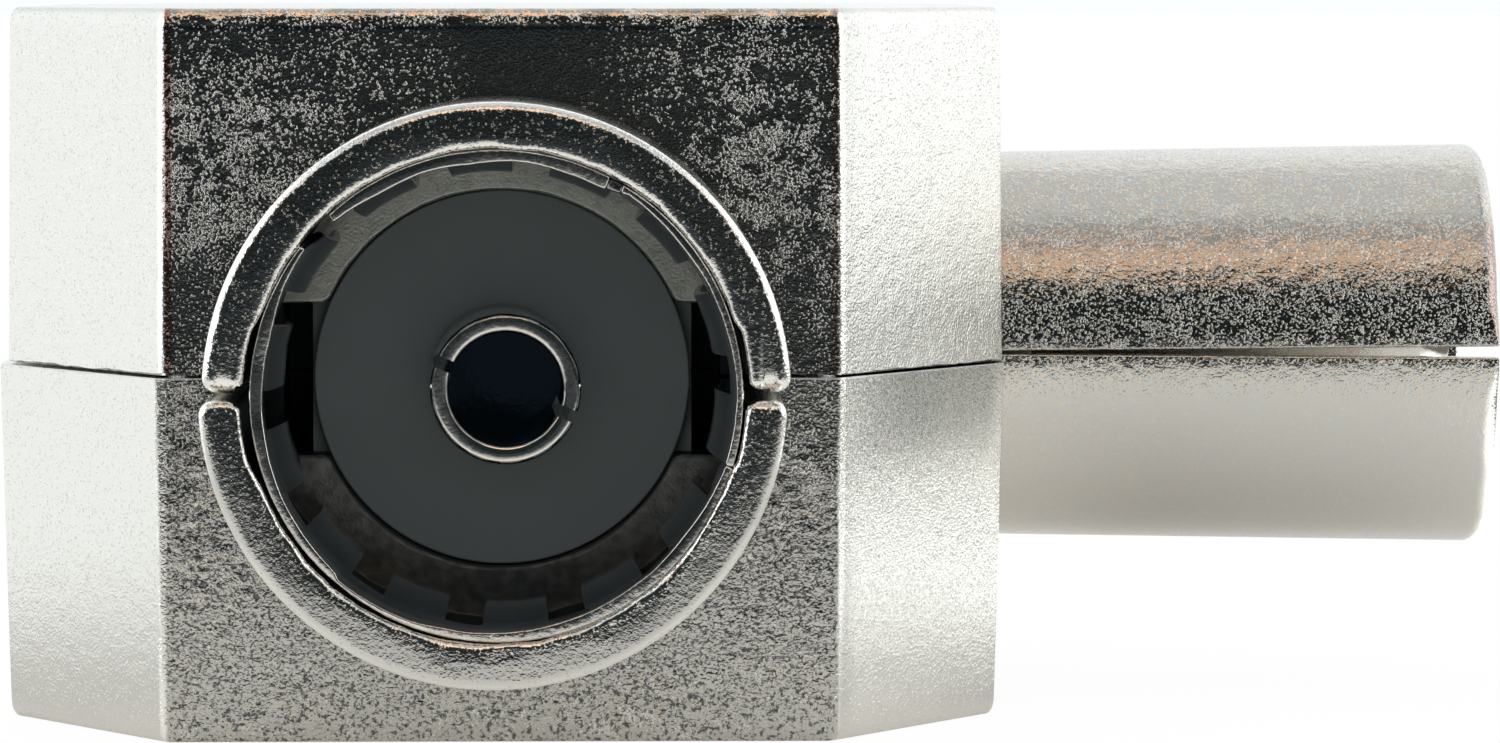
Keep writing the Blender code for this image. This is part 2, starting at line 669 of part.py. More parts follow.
def sleeve_mesh():
    """Return a rolled strip with an open seam and a crown of inward bent fingers."""
    bm = bmesh.new()
    pitch = math.tau / FINGER_COUNT
    finger_run = SLEEVE_THROAT_DEPTH - SLEEVE_COLLAR
    tail_run = SLEEVE_LENGTH - SLEEVE_THROAT_DEPTH
    depths = [0.0, SLEEVE_COLLAR]
    depths += [SLEEVE_COLLAR + finger_run * step / 3 for step in (1, 2, 3)]
    depths += [SLEEVE_THROAT_DEPTH + tail_run * step / 2 for step in (1, 2)]
    angles = []
    for finger in range(FINGER_COUNT):
        middle = FINGER_PHASE + pitch * finger
        angles += [middle - FINGER_ANGLE / 2, middle, middle + FINGER_ANGLE / 2]
    mouth = RING_RIM - SLEEVE_RECESS
    rows = []
    for depth in depths:
        radius = sleeve_radius(depth)
        rows.append([bm.verts.new((radius * math.cos(a), depth - mouth, radius * math.sin(a)))
                     for a in angles])
    columns = len(angles)
    for row in range(len(depths) - 1):
        for column in range(columns):
            in_slot = column % 3 == 2
            in_seam = column == 3 * SEAM_SLOT + 2
            if in_seam or (in_slot and depths[row] >= SLEEVE_COLLAR):
                continue
            after = (column + 1) % columns
            bm.faces.new((rows[row][column], rows[row][after], rows[row + 1][after], rows[row + 1][column]))
    return bm


def build_sleeves(material):
    """Make the two spring sleeves, each pressed into its ring behind the rim."""
    bm = sleeve_mesh()
    front = add_object("front_spring_sleeve", bm, material, (0.0, 0.0, AXIS_HEIGHT))
    point_outward(front.data)
    rear = add_mesh_object("rear_spring_sleeve", front.data, material, (0.0, 0.0, AXIS_HEIGHT), math.pi)
    for sleeve in (front, rear):
        skin = sleeve.modifiers.new("wall", "SOLIDIFY")
        skin.thickness = SLEEVE_WALL
        skin.offset = 1.0
        skin.use_even_offset = True


def point_outward(mesh):
    """Turn the faces of an open sheet away from the socket axis."""
    face = mesh.polygons[0]
    if face.normal.x * face.center.x + face.normal.z * face.center.z < 0.0:
        mesh.flip_normals()


def insulator_mesh():
    """Return the moulded socket insulator: plain disc, with a rim that has two flats."""
    body = INSULATOR_DIAMETER / 2
    rim = INSULATOR_RIM / 2
    bore = CONTACT_SHANK / 2 + FIT_GAP
    face = -INSULATOR_FACE
    rim_front = -(FLANGE_BACK - FIT_GAP)
    rim_back = -(GROOVE_BACK + FIT_GAP)
    back = -INSULATOR_BACK
    profile = [(bore, face), (body - INSULATOR_EDGE, face), (body, face + INSULATOR_EDGE), (body, rim_front),
               (rim, rim_front), (rim, rim_back), (body, rim_back), (body, back), (bore, back)]
    bm = turned(profile, TURNED_SEGMENTS, "Y")
    flat = body + FIT_GAP
    for side in (-1.0, 1.0):
        slice_off(bm, (side * flat, 0.0, 0.0), (side, 0.0, 0.0))
    return bm


def build_insulators(material):
    """Make the two socket insulators and the plug insulator."""
    bm = insulator_mesh()
    place = (0.0, 0.0, AXIS_HEIGHT)
    front = add_object("front_insulator", bm, material, place)
    add_mesh_object("rear_insulator", front.data, material, place, math.pi)
    bore = PIN_SHANK / 2 + FIT_GAP
    boss = BARREL_BORE / 2 - BARREL_SEAT_LIP - FIT_GAP
    rim = PLUG_GROOVE_DIAMETER / 2 - FIT_GAP
    back_boss = PLUG_BACK_BORE / 2 - FIT_GAP
    front_rim = PLUG_GROOVE_FRONT - FIT_GAP
    back_rim = PLUG_GROOVE_BACK + FIT_GAP
    face = SIDE_FACE + PLUG_BOSS_REACH
    edge = INSULATOR_EDGE
    profile = [(bore, CAVITY_SIDE + FIT_GAP), (back_boss, CAVITY_SIDE + FIT_GAP), (back_boss, back_rim),
               (rim, back_rim), (rim, front_rim), (boss, front_rim), (boss, face - edge),
               (boss - edge, face), (bore, face)]
    add_object("plug_insulator", turned(profile, TURNED_SEGMENTS, "X"), material, place)


def contact_mesh():
    """Return the turned centre contact: slotted tube, shank through the disc, solder tail."""
    tube = CONTACT_DIAMETER / 2
    bore = CONTACT_BORE / 2
    mouth = bore + CONTACT_SINK
    shank = CONTACT_SHANK / 2
    tail = TAIL_DIAMETER / 2
    tip = CONTACT_TIP
    root = INSULATOR_FACE + FIT_GAP
    back = INSULATOR_BACK - FIT_GAP
    floor = back + CONTACT_FLOOR
    end = CAVITY_END - SOCKET_TAIL_REACH
    profile = [(0.0, floor), (bore, floor), (bore, tip - CONTACT_SINK), (mouth, tip),
               (tube - CONTACT_EDGE, tip), (tube, tip - CONTACT_EDGE), (tube, root), (shank, root),
               (shank, back), (tail, back),
               (tail, end + TAIL_CHAMFER), (tail - TAIL_CHAMFER, end), (0.0, end)]
    profile = [(radius, -station) for radius, station in profile]
    return turned(profile, CONTACT_SEGMENTS, "Y")


def build_contacts(material):
    """Make the two centre contacts, slotted across and leaning a little past the disc."""
    place = (0.0, 0.0, AXIS_HEIGHT)
    front = add_object("front_socket_contact", contact_mesh(), material)
    half = CONTACT_SLOT_WIDTH / 2
    reach = CONTACT_DIAMETER
    outline = [(-reach, -half), (reach, -half), (reach, half), (-reach, half)]
    bm = bmesh.new()
    extrude_outline(bm, outline, lambda point, depth: (point[0], -depth, point[1]),
                    (CONTACT_TIP + OVERCUT, CONTACT_TIP - CONTACT_SLOT_DEPTH))
    bmesh.ops.rotate(bm, verts=bm.verts, cent=(0.0, 0.0, 0.0),
                     matrix=Matrix.Rotation(-CONTACT_SLOT_ANGLE, 3, "Y"))
    combine(front, [cutter("contact_slot", bm)], "DIFFERENCE")
    for vert in front.data.vertices:
        past = -vert.co.y - INSULATOR_FACE
        if past > 0.0:
            vert.co.x += past * math.tan(CONTACT_LEAN)
    polish(front, material)
    front.location = place
    add_mesh_object("rear_socket_contact", front.data, material, place, math.pi)


def build_pin(material):
    """Turn the plug pin with its rounded tip, shank and solder tail."""
    radius = PIN_DIAMETER / 2
    shank = PIN_SHANK / 2
    tail = TAIL_DIAMETER / 2
    tip = BARREL_TIP - PIN_RECESS
    shoulder = SIDE_FACE + PLUG_BOSS_REACH + FIT_GAP
    back = CAVITY_SIDE
    end = CAVITY_SIDE - PLUG_TAIL_REACH
    profile = [(0.0, end), (tail - TAIL_CHAMFER, end), (tail, end + TAIL_CHAMFER), (tail, back),
               (shank, back), (shank, shoulder), (radius, shoulder)]
    for step in range(PIN_TIP_STEPS):
        angle = math.pi / 2 * step / PIN_TIP_STEPS
        profile.append((radius * math.cos(angle), tip - PIN_TIP_LENGTH * (1.0 - math.sin(angle))))
    profile.append((0.0, tip))
    add_object("plug_pin", turned(profile, CONTACT_SEGMENTS, "X"), material, (0.0, 0.0, AXIS_HEIGHT))


def core_lead_holes(centre_x):
    """Return the two board holes of a winding."""
    station = centre_x - CORE_LENGTH / 2 - WINDING_LEAD_OVERHANG
    half = CORE_HOLE_SPACING / 2
    return [(station, -half), (station, half)]


def resistor_lead_holes():
    """Return the two board holes of the resistor."""
    reach = RESISTOR_LENGTH / 2 + RESISTOR_LEAD_RUN
    return [(RESISTOR_X, -reach), (RESISTOR_X, reach)]


def capacitor_lead_holes(centre):
    """Return the two board holes of a disc capacitor."""
    half = CAPACITOR_LEAD_SPACING / 2
    return [(centre[0] - half, centre[1]), (centre[0] + half, centre[1])]


def build_board(material):
    """Make the drilled board, shaped to the cavity and resting on the side ledges."""
    lean = (-BOARD_BOTTOM + OVERCUT) * math.tan(CORE_DRAFT)
    blank = inside_walls(0.0, BOARD_GAP + lean, BOARD_BOTTOM, BOARD_TOP, 0.0)
    board = add_object("circuit_board", blank)
    places = core_lead_holes(MATCHING_CORE_X) + core_lead_holes(SPLITTER_CORE_X) + resistor_lead_holes()
    places += capacitor_lead_holes(INPUT_CAPACITOR) + capacitor_lead_holes(TRIMMING_CAPACITOR)
    drills = []
    for x, y in places:
        hole = arc((x, y), LEAD_HOLE / 2, 0.0, math.tau, WIRE_SIDES)[:-1]
        tool = bmesh.new()
        loft_outlines(tool, hole, hole, BOARD_BOTTOM - OVERCUT, BOARD_TOP + OVERCUT)
        drills.append(cutter("lead_hole", tool))
    combine(board, drills, "DIFFERENCE")
    board.location = (0.0, 0.0, AXIS_HEIGHT)
    polish(board, material)


def rounded_route(corners, radius):
    """Return a polyline through the corners with each bend rounded by three points."""
    points = [Vector(corners[0])]
    for before, here, after in zip(corners, corners[1:], corners[2:]):
        corner = Vector(here)
        back = Vector(before) - corner
        ahead = Vector(after) - corner
        reach = min(radius, back.length * BEND_SHARE, ahead.length * BEND_SHARE)
        start = corner + back.normalized() * reach
        end = corner + ahead.normalized() * reach
        points += [start, start.lerp(end, 0.5).lerp(corner, 0.5), end]
    points.append(Vector(corners[-1]))
    return points


def build_wire(name, corners, diameter, material):
    """Make a round wire along a route of rounded corners."""
    curve = bpy.data.curves.new(name, "CURVE")
    curve.dimensions = "3D"
    curve.bevel_depth = diameter / 2
    curve.bevel_resolution = WIRE_SIDES // 4
    curve.use_fill_caps = True
    points = rounded_route(corners, LEAD_BEND)
    spline = curve.splines.new("POLY")
    spline.points.add(len(points) - 1)
    for target, point in zip(spline.points, points):
        target.co = (*point, 1.0)
    curve.materials.append(material)
    item = bpy.data.objects.new(name, curve)
    bpy.context.scene.collection.objects.link(item)
    item.location = (0.0, 0.0, AXIS_HEIGHT)
    return item


def build_core(name, centre_x, material):
    """Make a two-hole ferrite core lying on the board with its holes along X."""
    radius = CORE_HEIGHT / 2
    flat = CORE_WIDTH / 2 - radius
    outline = arc((flat, 0.0), radius, -math.pi / 2, math.pi / 2, 8)
    outline += arc((-flat, 0.0), radius, math.pi / 2, 1.5 * math.pi, 8)
    half = CORE_LENGTH / 2
    bm = bmesh.new()
    extrude_outline(bm, outline, lambda point, depth: (depth, point[0], point[1]), (-half, half))
    core = add_object(name, bm)
    holes = []
    for side in (-1.0, 1.0):
        ring = arc((side * CORE_HOLE_SPACING / 2, 0.0), CORE_HOLE / 2, 0.0, math.tau, COMPONENT_SEGMENTS)[:-1]
        tool = bmesh.new()
        extrude_outline(tool, ring, lambda point, depth: (depth, point[0], point[1]),
                        (-half - OVERCUT, half + OVERCUT))
        holes.append(cutter("core_hole", tool))
    combine(core, holes, "DIFFERENCE")
    core.location = (centre_x, 0.0, AXIS_HEIGHT + BOARD_TOP + SEAT_GAP + radius)
    polish(core, material)


def build_winding(name, centre_x, material):
    """Wind the core: through one hole, back through the other, with both ends in the board."""
    half = CORE_HOLE_SPACING / 2
    near = CORE_LENGTH / 2 + WINDING_OVERHANG
    out = CORE_LENGTH / 2 + WINDING_LEAD_OVERHANG
    middle = BOARD_TOP + SEAT_GAP + CORE_HEIGHT / 2
    level = middle - WINDING_PITCH * (WINDING_TURNS - 1) / 2
    below = BOARD_BOTTOM - LEAD_STUB
    route = [(-out, -half, below), (-out, -half, level)]
    for turn in range(WINDING_TURNS):
        height = level + WINDING_PITCH * turn
        if turn > 0:
            route.append((-near, -half, height))
        route += [(near, -half, height), (near, half, height)]
        if turn < WINDING_TURNS - 1:
            route.append((-near, half, height))
    route += [(-out, half, height), (-out, half, below)]
    route = [(centre_x + x, y, z) for x, y, z in route]
    build_wire(name, route, WINDING_WIRE, material)


def build_resistor(body_material, lead_material):
    """Make the axial resistor across the two outputs, and its bent leads."""
    end = RESISTOR_LENGTH / 2
    bulge = RESISTOR_DIAMETER / 2
    waist = RESISTOR_WAIST / 2
    edge = RESISTOR_CAP_EDGE
    cap = end - RESISTOR_CAP_LENGTH
    half = [(0.0, end), (bulge - edge, end), (bulge, end - edge), (bulge, cap), (waist, cap - edge)]
    profile = half + [(radius, -station) for radius, station in reversed(half)]
    height = BOARD_TOP + SEAT_GAP + bulge
    place = (RESISTOR_X, 0.0, AXIS_HEIGHT + height)
    add_object("isolation_resistor", turned(profile, COMPONENT_SEGMENTS, "Y"), body_material, place)
    for name, (x, y) in zip(("resistor_front_lead", "resistor_rear_lead"), resistor_lead_holes()):
        start = math.copysign(end + FIT_GAP, y)
        route = [(x, start, height), (x, y, height), (x, y, BOARD_BOTTOM - LEAD_STUB)]
        build_wire(name, route, COMPONENT_LEAD, lead_material)


def build_capacitor(name, centre, body_material, lead_material):
    """Make an upright ceramic disc capacitor and its two leads."""
    radius = CAPACITOR_DIAMETER / 2
    half = CAPACITOR_THICKNESS / 2
    flat = radius - CAPACITOR_EDGE
    profile = [(0.0, -half)]
    for across, station in arc((0.0, 0.0), 1.0, -math.pi / 2, math.pi / 2, 2 * RIM_STEPS):
        profile.append((flat + CAPACITOR_EDGE * across, half * station))
    profile.append((0.0, half))
    height = BOARD_TOP + CAPACITOR_LIFT + radius
    place = (centre[0], centre[1], AXIS_HEIGHT + height)
    add_object(name, turned(profile, COMPONENT_SEGMENTS, "Y"), body_material, place)
    spread = CAPACITOR_LEAD_SPACING / 2
    under = math.sqrt(radius ** 2 - spread ** 2)
    top = height - under - COMPONENT_LEAD / 2
    for side, (x, y) in zip(("left", "right"), capacitor_lead_holes(centre)):
        route = [(x, y, top), (x, y, BOARD_BOTTOM - LEAD_STUB)]
        build_wire(f"{name}_{side}_lead", route, COMPONENT_LEAD, lead_material)


def main():
    """Build the whole splitter."""
    clear_scene()
    cast = make_material("nickel_plated_zinc", (0.66, 0.65, 0.62), 0.32, 1.0)
    spring = make_material("nickel_plated_spring_brass", (0.72, 0.70, 0.66), 0.25, 1.0)
    contact = make_material("nickel_plated_brass", (0.74, 0.72, 0.68), 0.22, 1.0)
    plastic = make_material("charcoal_plastic", (0.045, 0.05, 0.05), 0.6, 0.0)
    laminate = make_material("board_laminate", (0.30, 0.24, 0.10), 0.6, 0.0)
    ferrite = make_material("grey_ferrite", (0.09, 0.09, 0.10), 0.5, 0.0)
    enamel = make_material("enamelled_copper", (0.55, 0.22, 0.10), 0.3, 0.9)
    tin = make_material("tinned_wire", (0.70, 0.70, 0.70), 0.3, 1.0)
    resin = make_material("component_resin", (0.45, 0.30, 0.16), 0.45, 0.0)
    build_shell("upper_shell", cast, True)
    build_shell("lower_shell", cast, False)
    build_sleeves(spring)
    build_insulators(plastic)
    build_contacts(contact)
    build_pin(contact)
    build_board(laminate)
    build_core("matching_core", MATCHING_CORE_X, ferrite)
    build_core("splitter_core", SPLITTER_CORE_X, ferrite)
    build_winding("matching_winding", MATCHING_CORE_X, enamel)
    build_winding("splitter_winding", SPLITTER_CORE_X, enamel)
    build_resistor(resin, tin)
    build_capacitor("input_capacitor", INPUT_CAPACITOR, resin, tin)
    build_capacitor("trimming_capacitor", TRIMMING_CAPACITOR, resin, tin)


main()
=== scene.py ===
"""Dressed model of a push-on coaxial T splitter for aerial leads.

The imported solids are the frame. The castings, spring sleeves, insulators and contacts are
built again here with rounded, slightly uneven edges, and every surface gets its finish. The
board inside keeps its solids and gets materials. Sizes are in millimetres and are turned
into metres where a mesh is written.
"""

import json
import logging
import math
from collections.abc import Callable, Mapping, Sequence
from dataclasses import dataclass, field
from enum import Enum
from typing import Any

import bmesh
import bpy
from mathutils import Matrix, Vector, noise


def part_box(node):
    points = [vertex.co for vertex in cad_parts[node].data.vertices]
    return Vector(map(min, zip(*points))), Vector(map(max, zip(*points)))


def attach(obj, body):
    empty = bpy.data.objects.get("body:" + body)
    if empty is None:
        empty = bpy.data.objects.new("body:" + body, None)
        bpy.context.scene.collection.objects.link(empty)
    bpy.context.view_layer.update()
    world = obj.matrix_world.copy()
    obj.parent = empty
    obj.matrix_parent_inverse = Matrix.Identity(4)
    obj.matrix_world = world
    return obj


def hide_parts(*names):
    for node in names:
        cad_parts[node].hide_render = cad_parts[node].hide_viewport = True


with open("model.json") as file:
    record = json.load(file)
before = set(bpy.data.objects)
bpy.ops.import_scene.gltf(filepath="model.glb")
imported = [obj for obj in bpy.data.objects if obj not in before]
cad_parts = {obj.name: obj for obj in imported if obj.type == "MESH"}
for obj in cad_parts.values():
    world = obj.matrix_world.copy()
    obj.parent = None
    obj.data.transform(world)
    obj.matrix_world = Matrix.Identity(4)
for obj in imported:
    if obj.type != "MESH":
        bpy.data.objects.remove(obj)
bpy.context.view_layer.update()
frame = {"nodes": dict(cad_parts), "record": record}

LOG = logging.getLogger("splitter")
MM = 0.001
BODY = "root"
SMOOTH_ANGLE = math.radians(38.0)
MERGE = 1e-8

ORIGIN = (0.0, 0.0)
QUARTER = math.pi / 2

Item = bpy.types.Object
Material = bpy.types.Material
Solid = bmesh.types.BMesh
Settings = Mapping[str, Any]
Inputs = Mapping[Any, Any]
Point2 = tuple[float, float]
Span = tuple[float, float]
Band = tuple[float, float, float, float]
Colour = tuple[float, float, float]
Place = Callable[[Sequence[float], float], Sequence[float]]


class Half(Enum):
    """The two castings, with the direction in which each one rises from the parting plane."""

    UPPER = 1.0
    LOWER = -1.0


class Socket(Enum):
    """The two sockets, with the direction in which each one looks along Y."""

    FRONT = -1.0
    REAR = 1.0


class Axis(Enum):
    """The axis that a turned piece lies on, with its direction and the side of its profile."""

    X = ((1.0, 0.0, 0.0), (0.0, 0.0, 1.0))
    Y = ((0.0, 1.0, 0.0), (0.0, 0.0, 1.0))
    Z = ((0.0, 0.0, 1.0), (1.0, 0.0, 0.0))


# Node trees


class Value:
    """A socket of a node tree that takes part in arithmetic."""

    def __init__(self, tree: "NodeTree", socket: bpy.types.NodeSocket) -> None:
        """Keep the tree and the socket."""
        self.tree = tree
        self.socket = socket

    def maths(self, operation: str, *others: Any) -> "Value":
        """Return the result of a Math node on this value.

        Args:
            operation: the Math node's operation.
            others: the other operands, numbers or values.

        Returns:
            The node's result.
        """
        inputs = dict(enumerate((self, *others)))
        return self.tree.value("ShaderNodeMath", {"operation": operation}, inputs)

    def __add__(self, other: Any) -> "Value":
        """Add."""
        return self.maths("ADD", other)

    __radd__ = __add__

    def __mul__(self, other: Any) -> "Value":
        """Multiply."""
        return self.maths("MULTIPLY", other)

    __rmul__ = __mul__

    def __sub__(self, other: Any) -> "Value":
        """Subtract."""
        return self.maths("SUBTRACT", other)

    def __rsub__(self, other: float) -> "Value":
        """Subtract this value from a number."""
        return self.tree.value("ShaderNodeMath", {"operation": "SUBTRACT"}, {0: other, 1: self})

    def __truediv__(self, other: Any) -> "Value":
        """Divide."""
        return self.maths("DIVIDE", other)

    def step(self, low: float, high: float) -> "Value":
        """Return a smooth step of this value.

        Args:
            low: the value that gives 0.
            high: the value that gives 1, which may be the lower of the two.

        Returns:
            A value from 0 to 1.
        """
        inputs = {"Value": self, "From Min": low, "From Max": high}
        return self.tree.value("ShaderNodeMapRange", {"interpolation_type": "SMOOTHSTEP"}, inputs)

    def band(self, start: float, full: float, fade: float, end: float) -> "Value":
        """Return 1 where this value lies from full to fade, down to 0 at start and at end."""
        return self.step(start, full) * self.step(end, fade)

    def absolute(self) -> "Value":
        """Return this value without its sign."""
        return self.maths("ABSOLUTE")

    def limited(self) -> "Value":
        """Return this value held between 0 and 1."""
        return self.tree.value("ShaderNodeClamp", {}, {"Value": self})


class NodeTree:
    """Builds the nodes of a shader, world or geometry tree."""

    def __init__(self, tree: bpy.types.NodeTree) -> None:
        """Keep the tree and empty it."""
        self.tree = tree
        tree.nodes.clear()

    def node(self, kind: str, settings: Settings, inputs: Inputs) -> bpy.types.Node:
        """Add a node.

        Args:
            kind: the node's type.
            settings: its properties.
            inputs: numbers, colours, Values or sockets by input name or number.

        Returns:
            The new node.
        """
        made = self.tree.nodes.new(kind)
        for name, setting in settings.items():
            setattr(made, name, setting)
        for key, given in inputs.items():
            source = given.socket if isinstance(given, Value) else given
            if isinstance(source, bpy.types.NodeSocket):
                self.tree.links.new(source, made.inputs[key])
            else:
                made.inputs[key].default_value = source
        return made

    def value(self, kind: str, settings: Settings, inputs: Inputs, output: Any = 0) -> Value:
        """Add a node and return one of its outputs.

        Args:
            kind: the node's type.
            settings: its properties.
            inputs: what its sockets get.
            output: the output's name or number.

        Returns:
            The output as a value.
        """
        return Value(self, self.node(kind, settings, inputs).outputs[output])

    def parts(self, vector: Value) -> list[Value]:
        """Return the three parts of a vector."""
        split = self.node("ShaderNodeSeparateXYZ", {}, {0: vector})
        return [Value(self, output) for output in split.outputs]

    def rays(self) -> list[Value]:
        """Return whether a ray comes from the camera, and whether from a mirroring surface."""
        path = self.node("ShaderNodeLightPath", {}, {})
        return [Value(self, path.outputs[name]) for name in ("Is Camera Ray", "Is Glossy Ray")]

    def noise(self, vector: Value, size: float, detail: float = 2.0, rough: float = 0.5) -> Value:
        """Return noise of one feature size.

        Args:
            vector: object coordinates in metres.
            size: the feature size in millimetres.
            detail: the number of octaves.
            rough: how strong the finer octaves are.

        Returns:
            Noise from 0 to 1.
        """
        inputs = {"Vector": vector, "Scale": 1.0 / (size * MM), "Detail": detail, "Roughness": rough}
        return self.value("ShaderNodeTexNoise", {"noise_dimensions": "3D"}, inputs)

    def blend(self, factor: Any, first: Any, second: Any) -> Value:
        """Return a colour between two colours.

        Args:
            factor: 0 for the first, 1 for the second.
            first: a colour or a value.
            second: a colour or a value.

        Returns:
            The blended colour.
        """
        pair = [(*given, 1.0) if isinstance(given, tuple) else given for given in (first, second)]
        return self.value("ShaderNodeMix", {"data_type": "RGBA"}, {0: factor, 6: pair[0], 7: pair[1]}, 2)

    def layered(self, ground: Any, *layers: tuple[Value, Colour]) -> Any:
        """Return a colour with others laid over it.

        Args:
            ground: the lowest colour.
            layers: the mask and the colour of each layer, from below.

        Returns:
            The blended colour.
        """
        for mask, colour in layers:
            ground = self.blend(mask, ground, colour)
        return ground


class Surface(NodeTree):
    """A Principled material under construction."""

    def __init__(self, name: str) -> None:
        """Start a material with object coordinates at hand.

        Args:
            name: the material's name.
        """
        self.material = bpy.data.materials.new(name)
        self.material.use_nodes = True
        super().__init__(self.material.node_tree)
        self.place = self.value("ShaderNodeTexCoord", {}, {}, "Object")
        self.x, self.y, self.z = (part / MM for part in self.parts(self.place))

    def around(self, axis: float) -> tuple[Value, Value, Value]:
        """Return the height above the sockets' axis, the depth along it and the distance from it."""
        rise = self.z - axis
        return rise, self.y.absolute(), (self.x * self.x + rise * rise).maths("SQRT")

    def grit(self, size: float, detail: float = 2.0, rough: float = 0.5) -> Value:
        """Return noise on the object coordinates, with the arguments of noise."""
        return self.noise(self.place, size, detail, rough)

    def finish(self, colour: Value, rough: Value, metallic: float, height: Value, depth: float) -> Material:
        """Close the material.

        Args:
            colour: the base colour.
            rough: the roughness.
            metallic: 1 for a metal, 0 for anything else.
            height: the relief, from 0 to 1.
            depth: the depth of that relief in millimetres.

        Returns:
            The finished material.
        """
        relief = {"Strength": 1.0, "Distance": depth * MM, "Height": height}
        sockets = {"Base Color": colour, "Roughness": rough, "Metallic": metallic,
                   "Normal": self.value("ShaderNodeBump", {}, relief, "Normal")}
        shader = self.node("ShaderNodeBsdfPrincipled", {}, sockets)
        self.node("ShaderNodeOutputMaterial", {}, {"Surface": shader.outputs[0]})
        return self.material


# Finishes


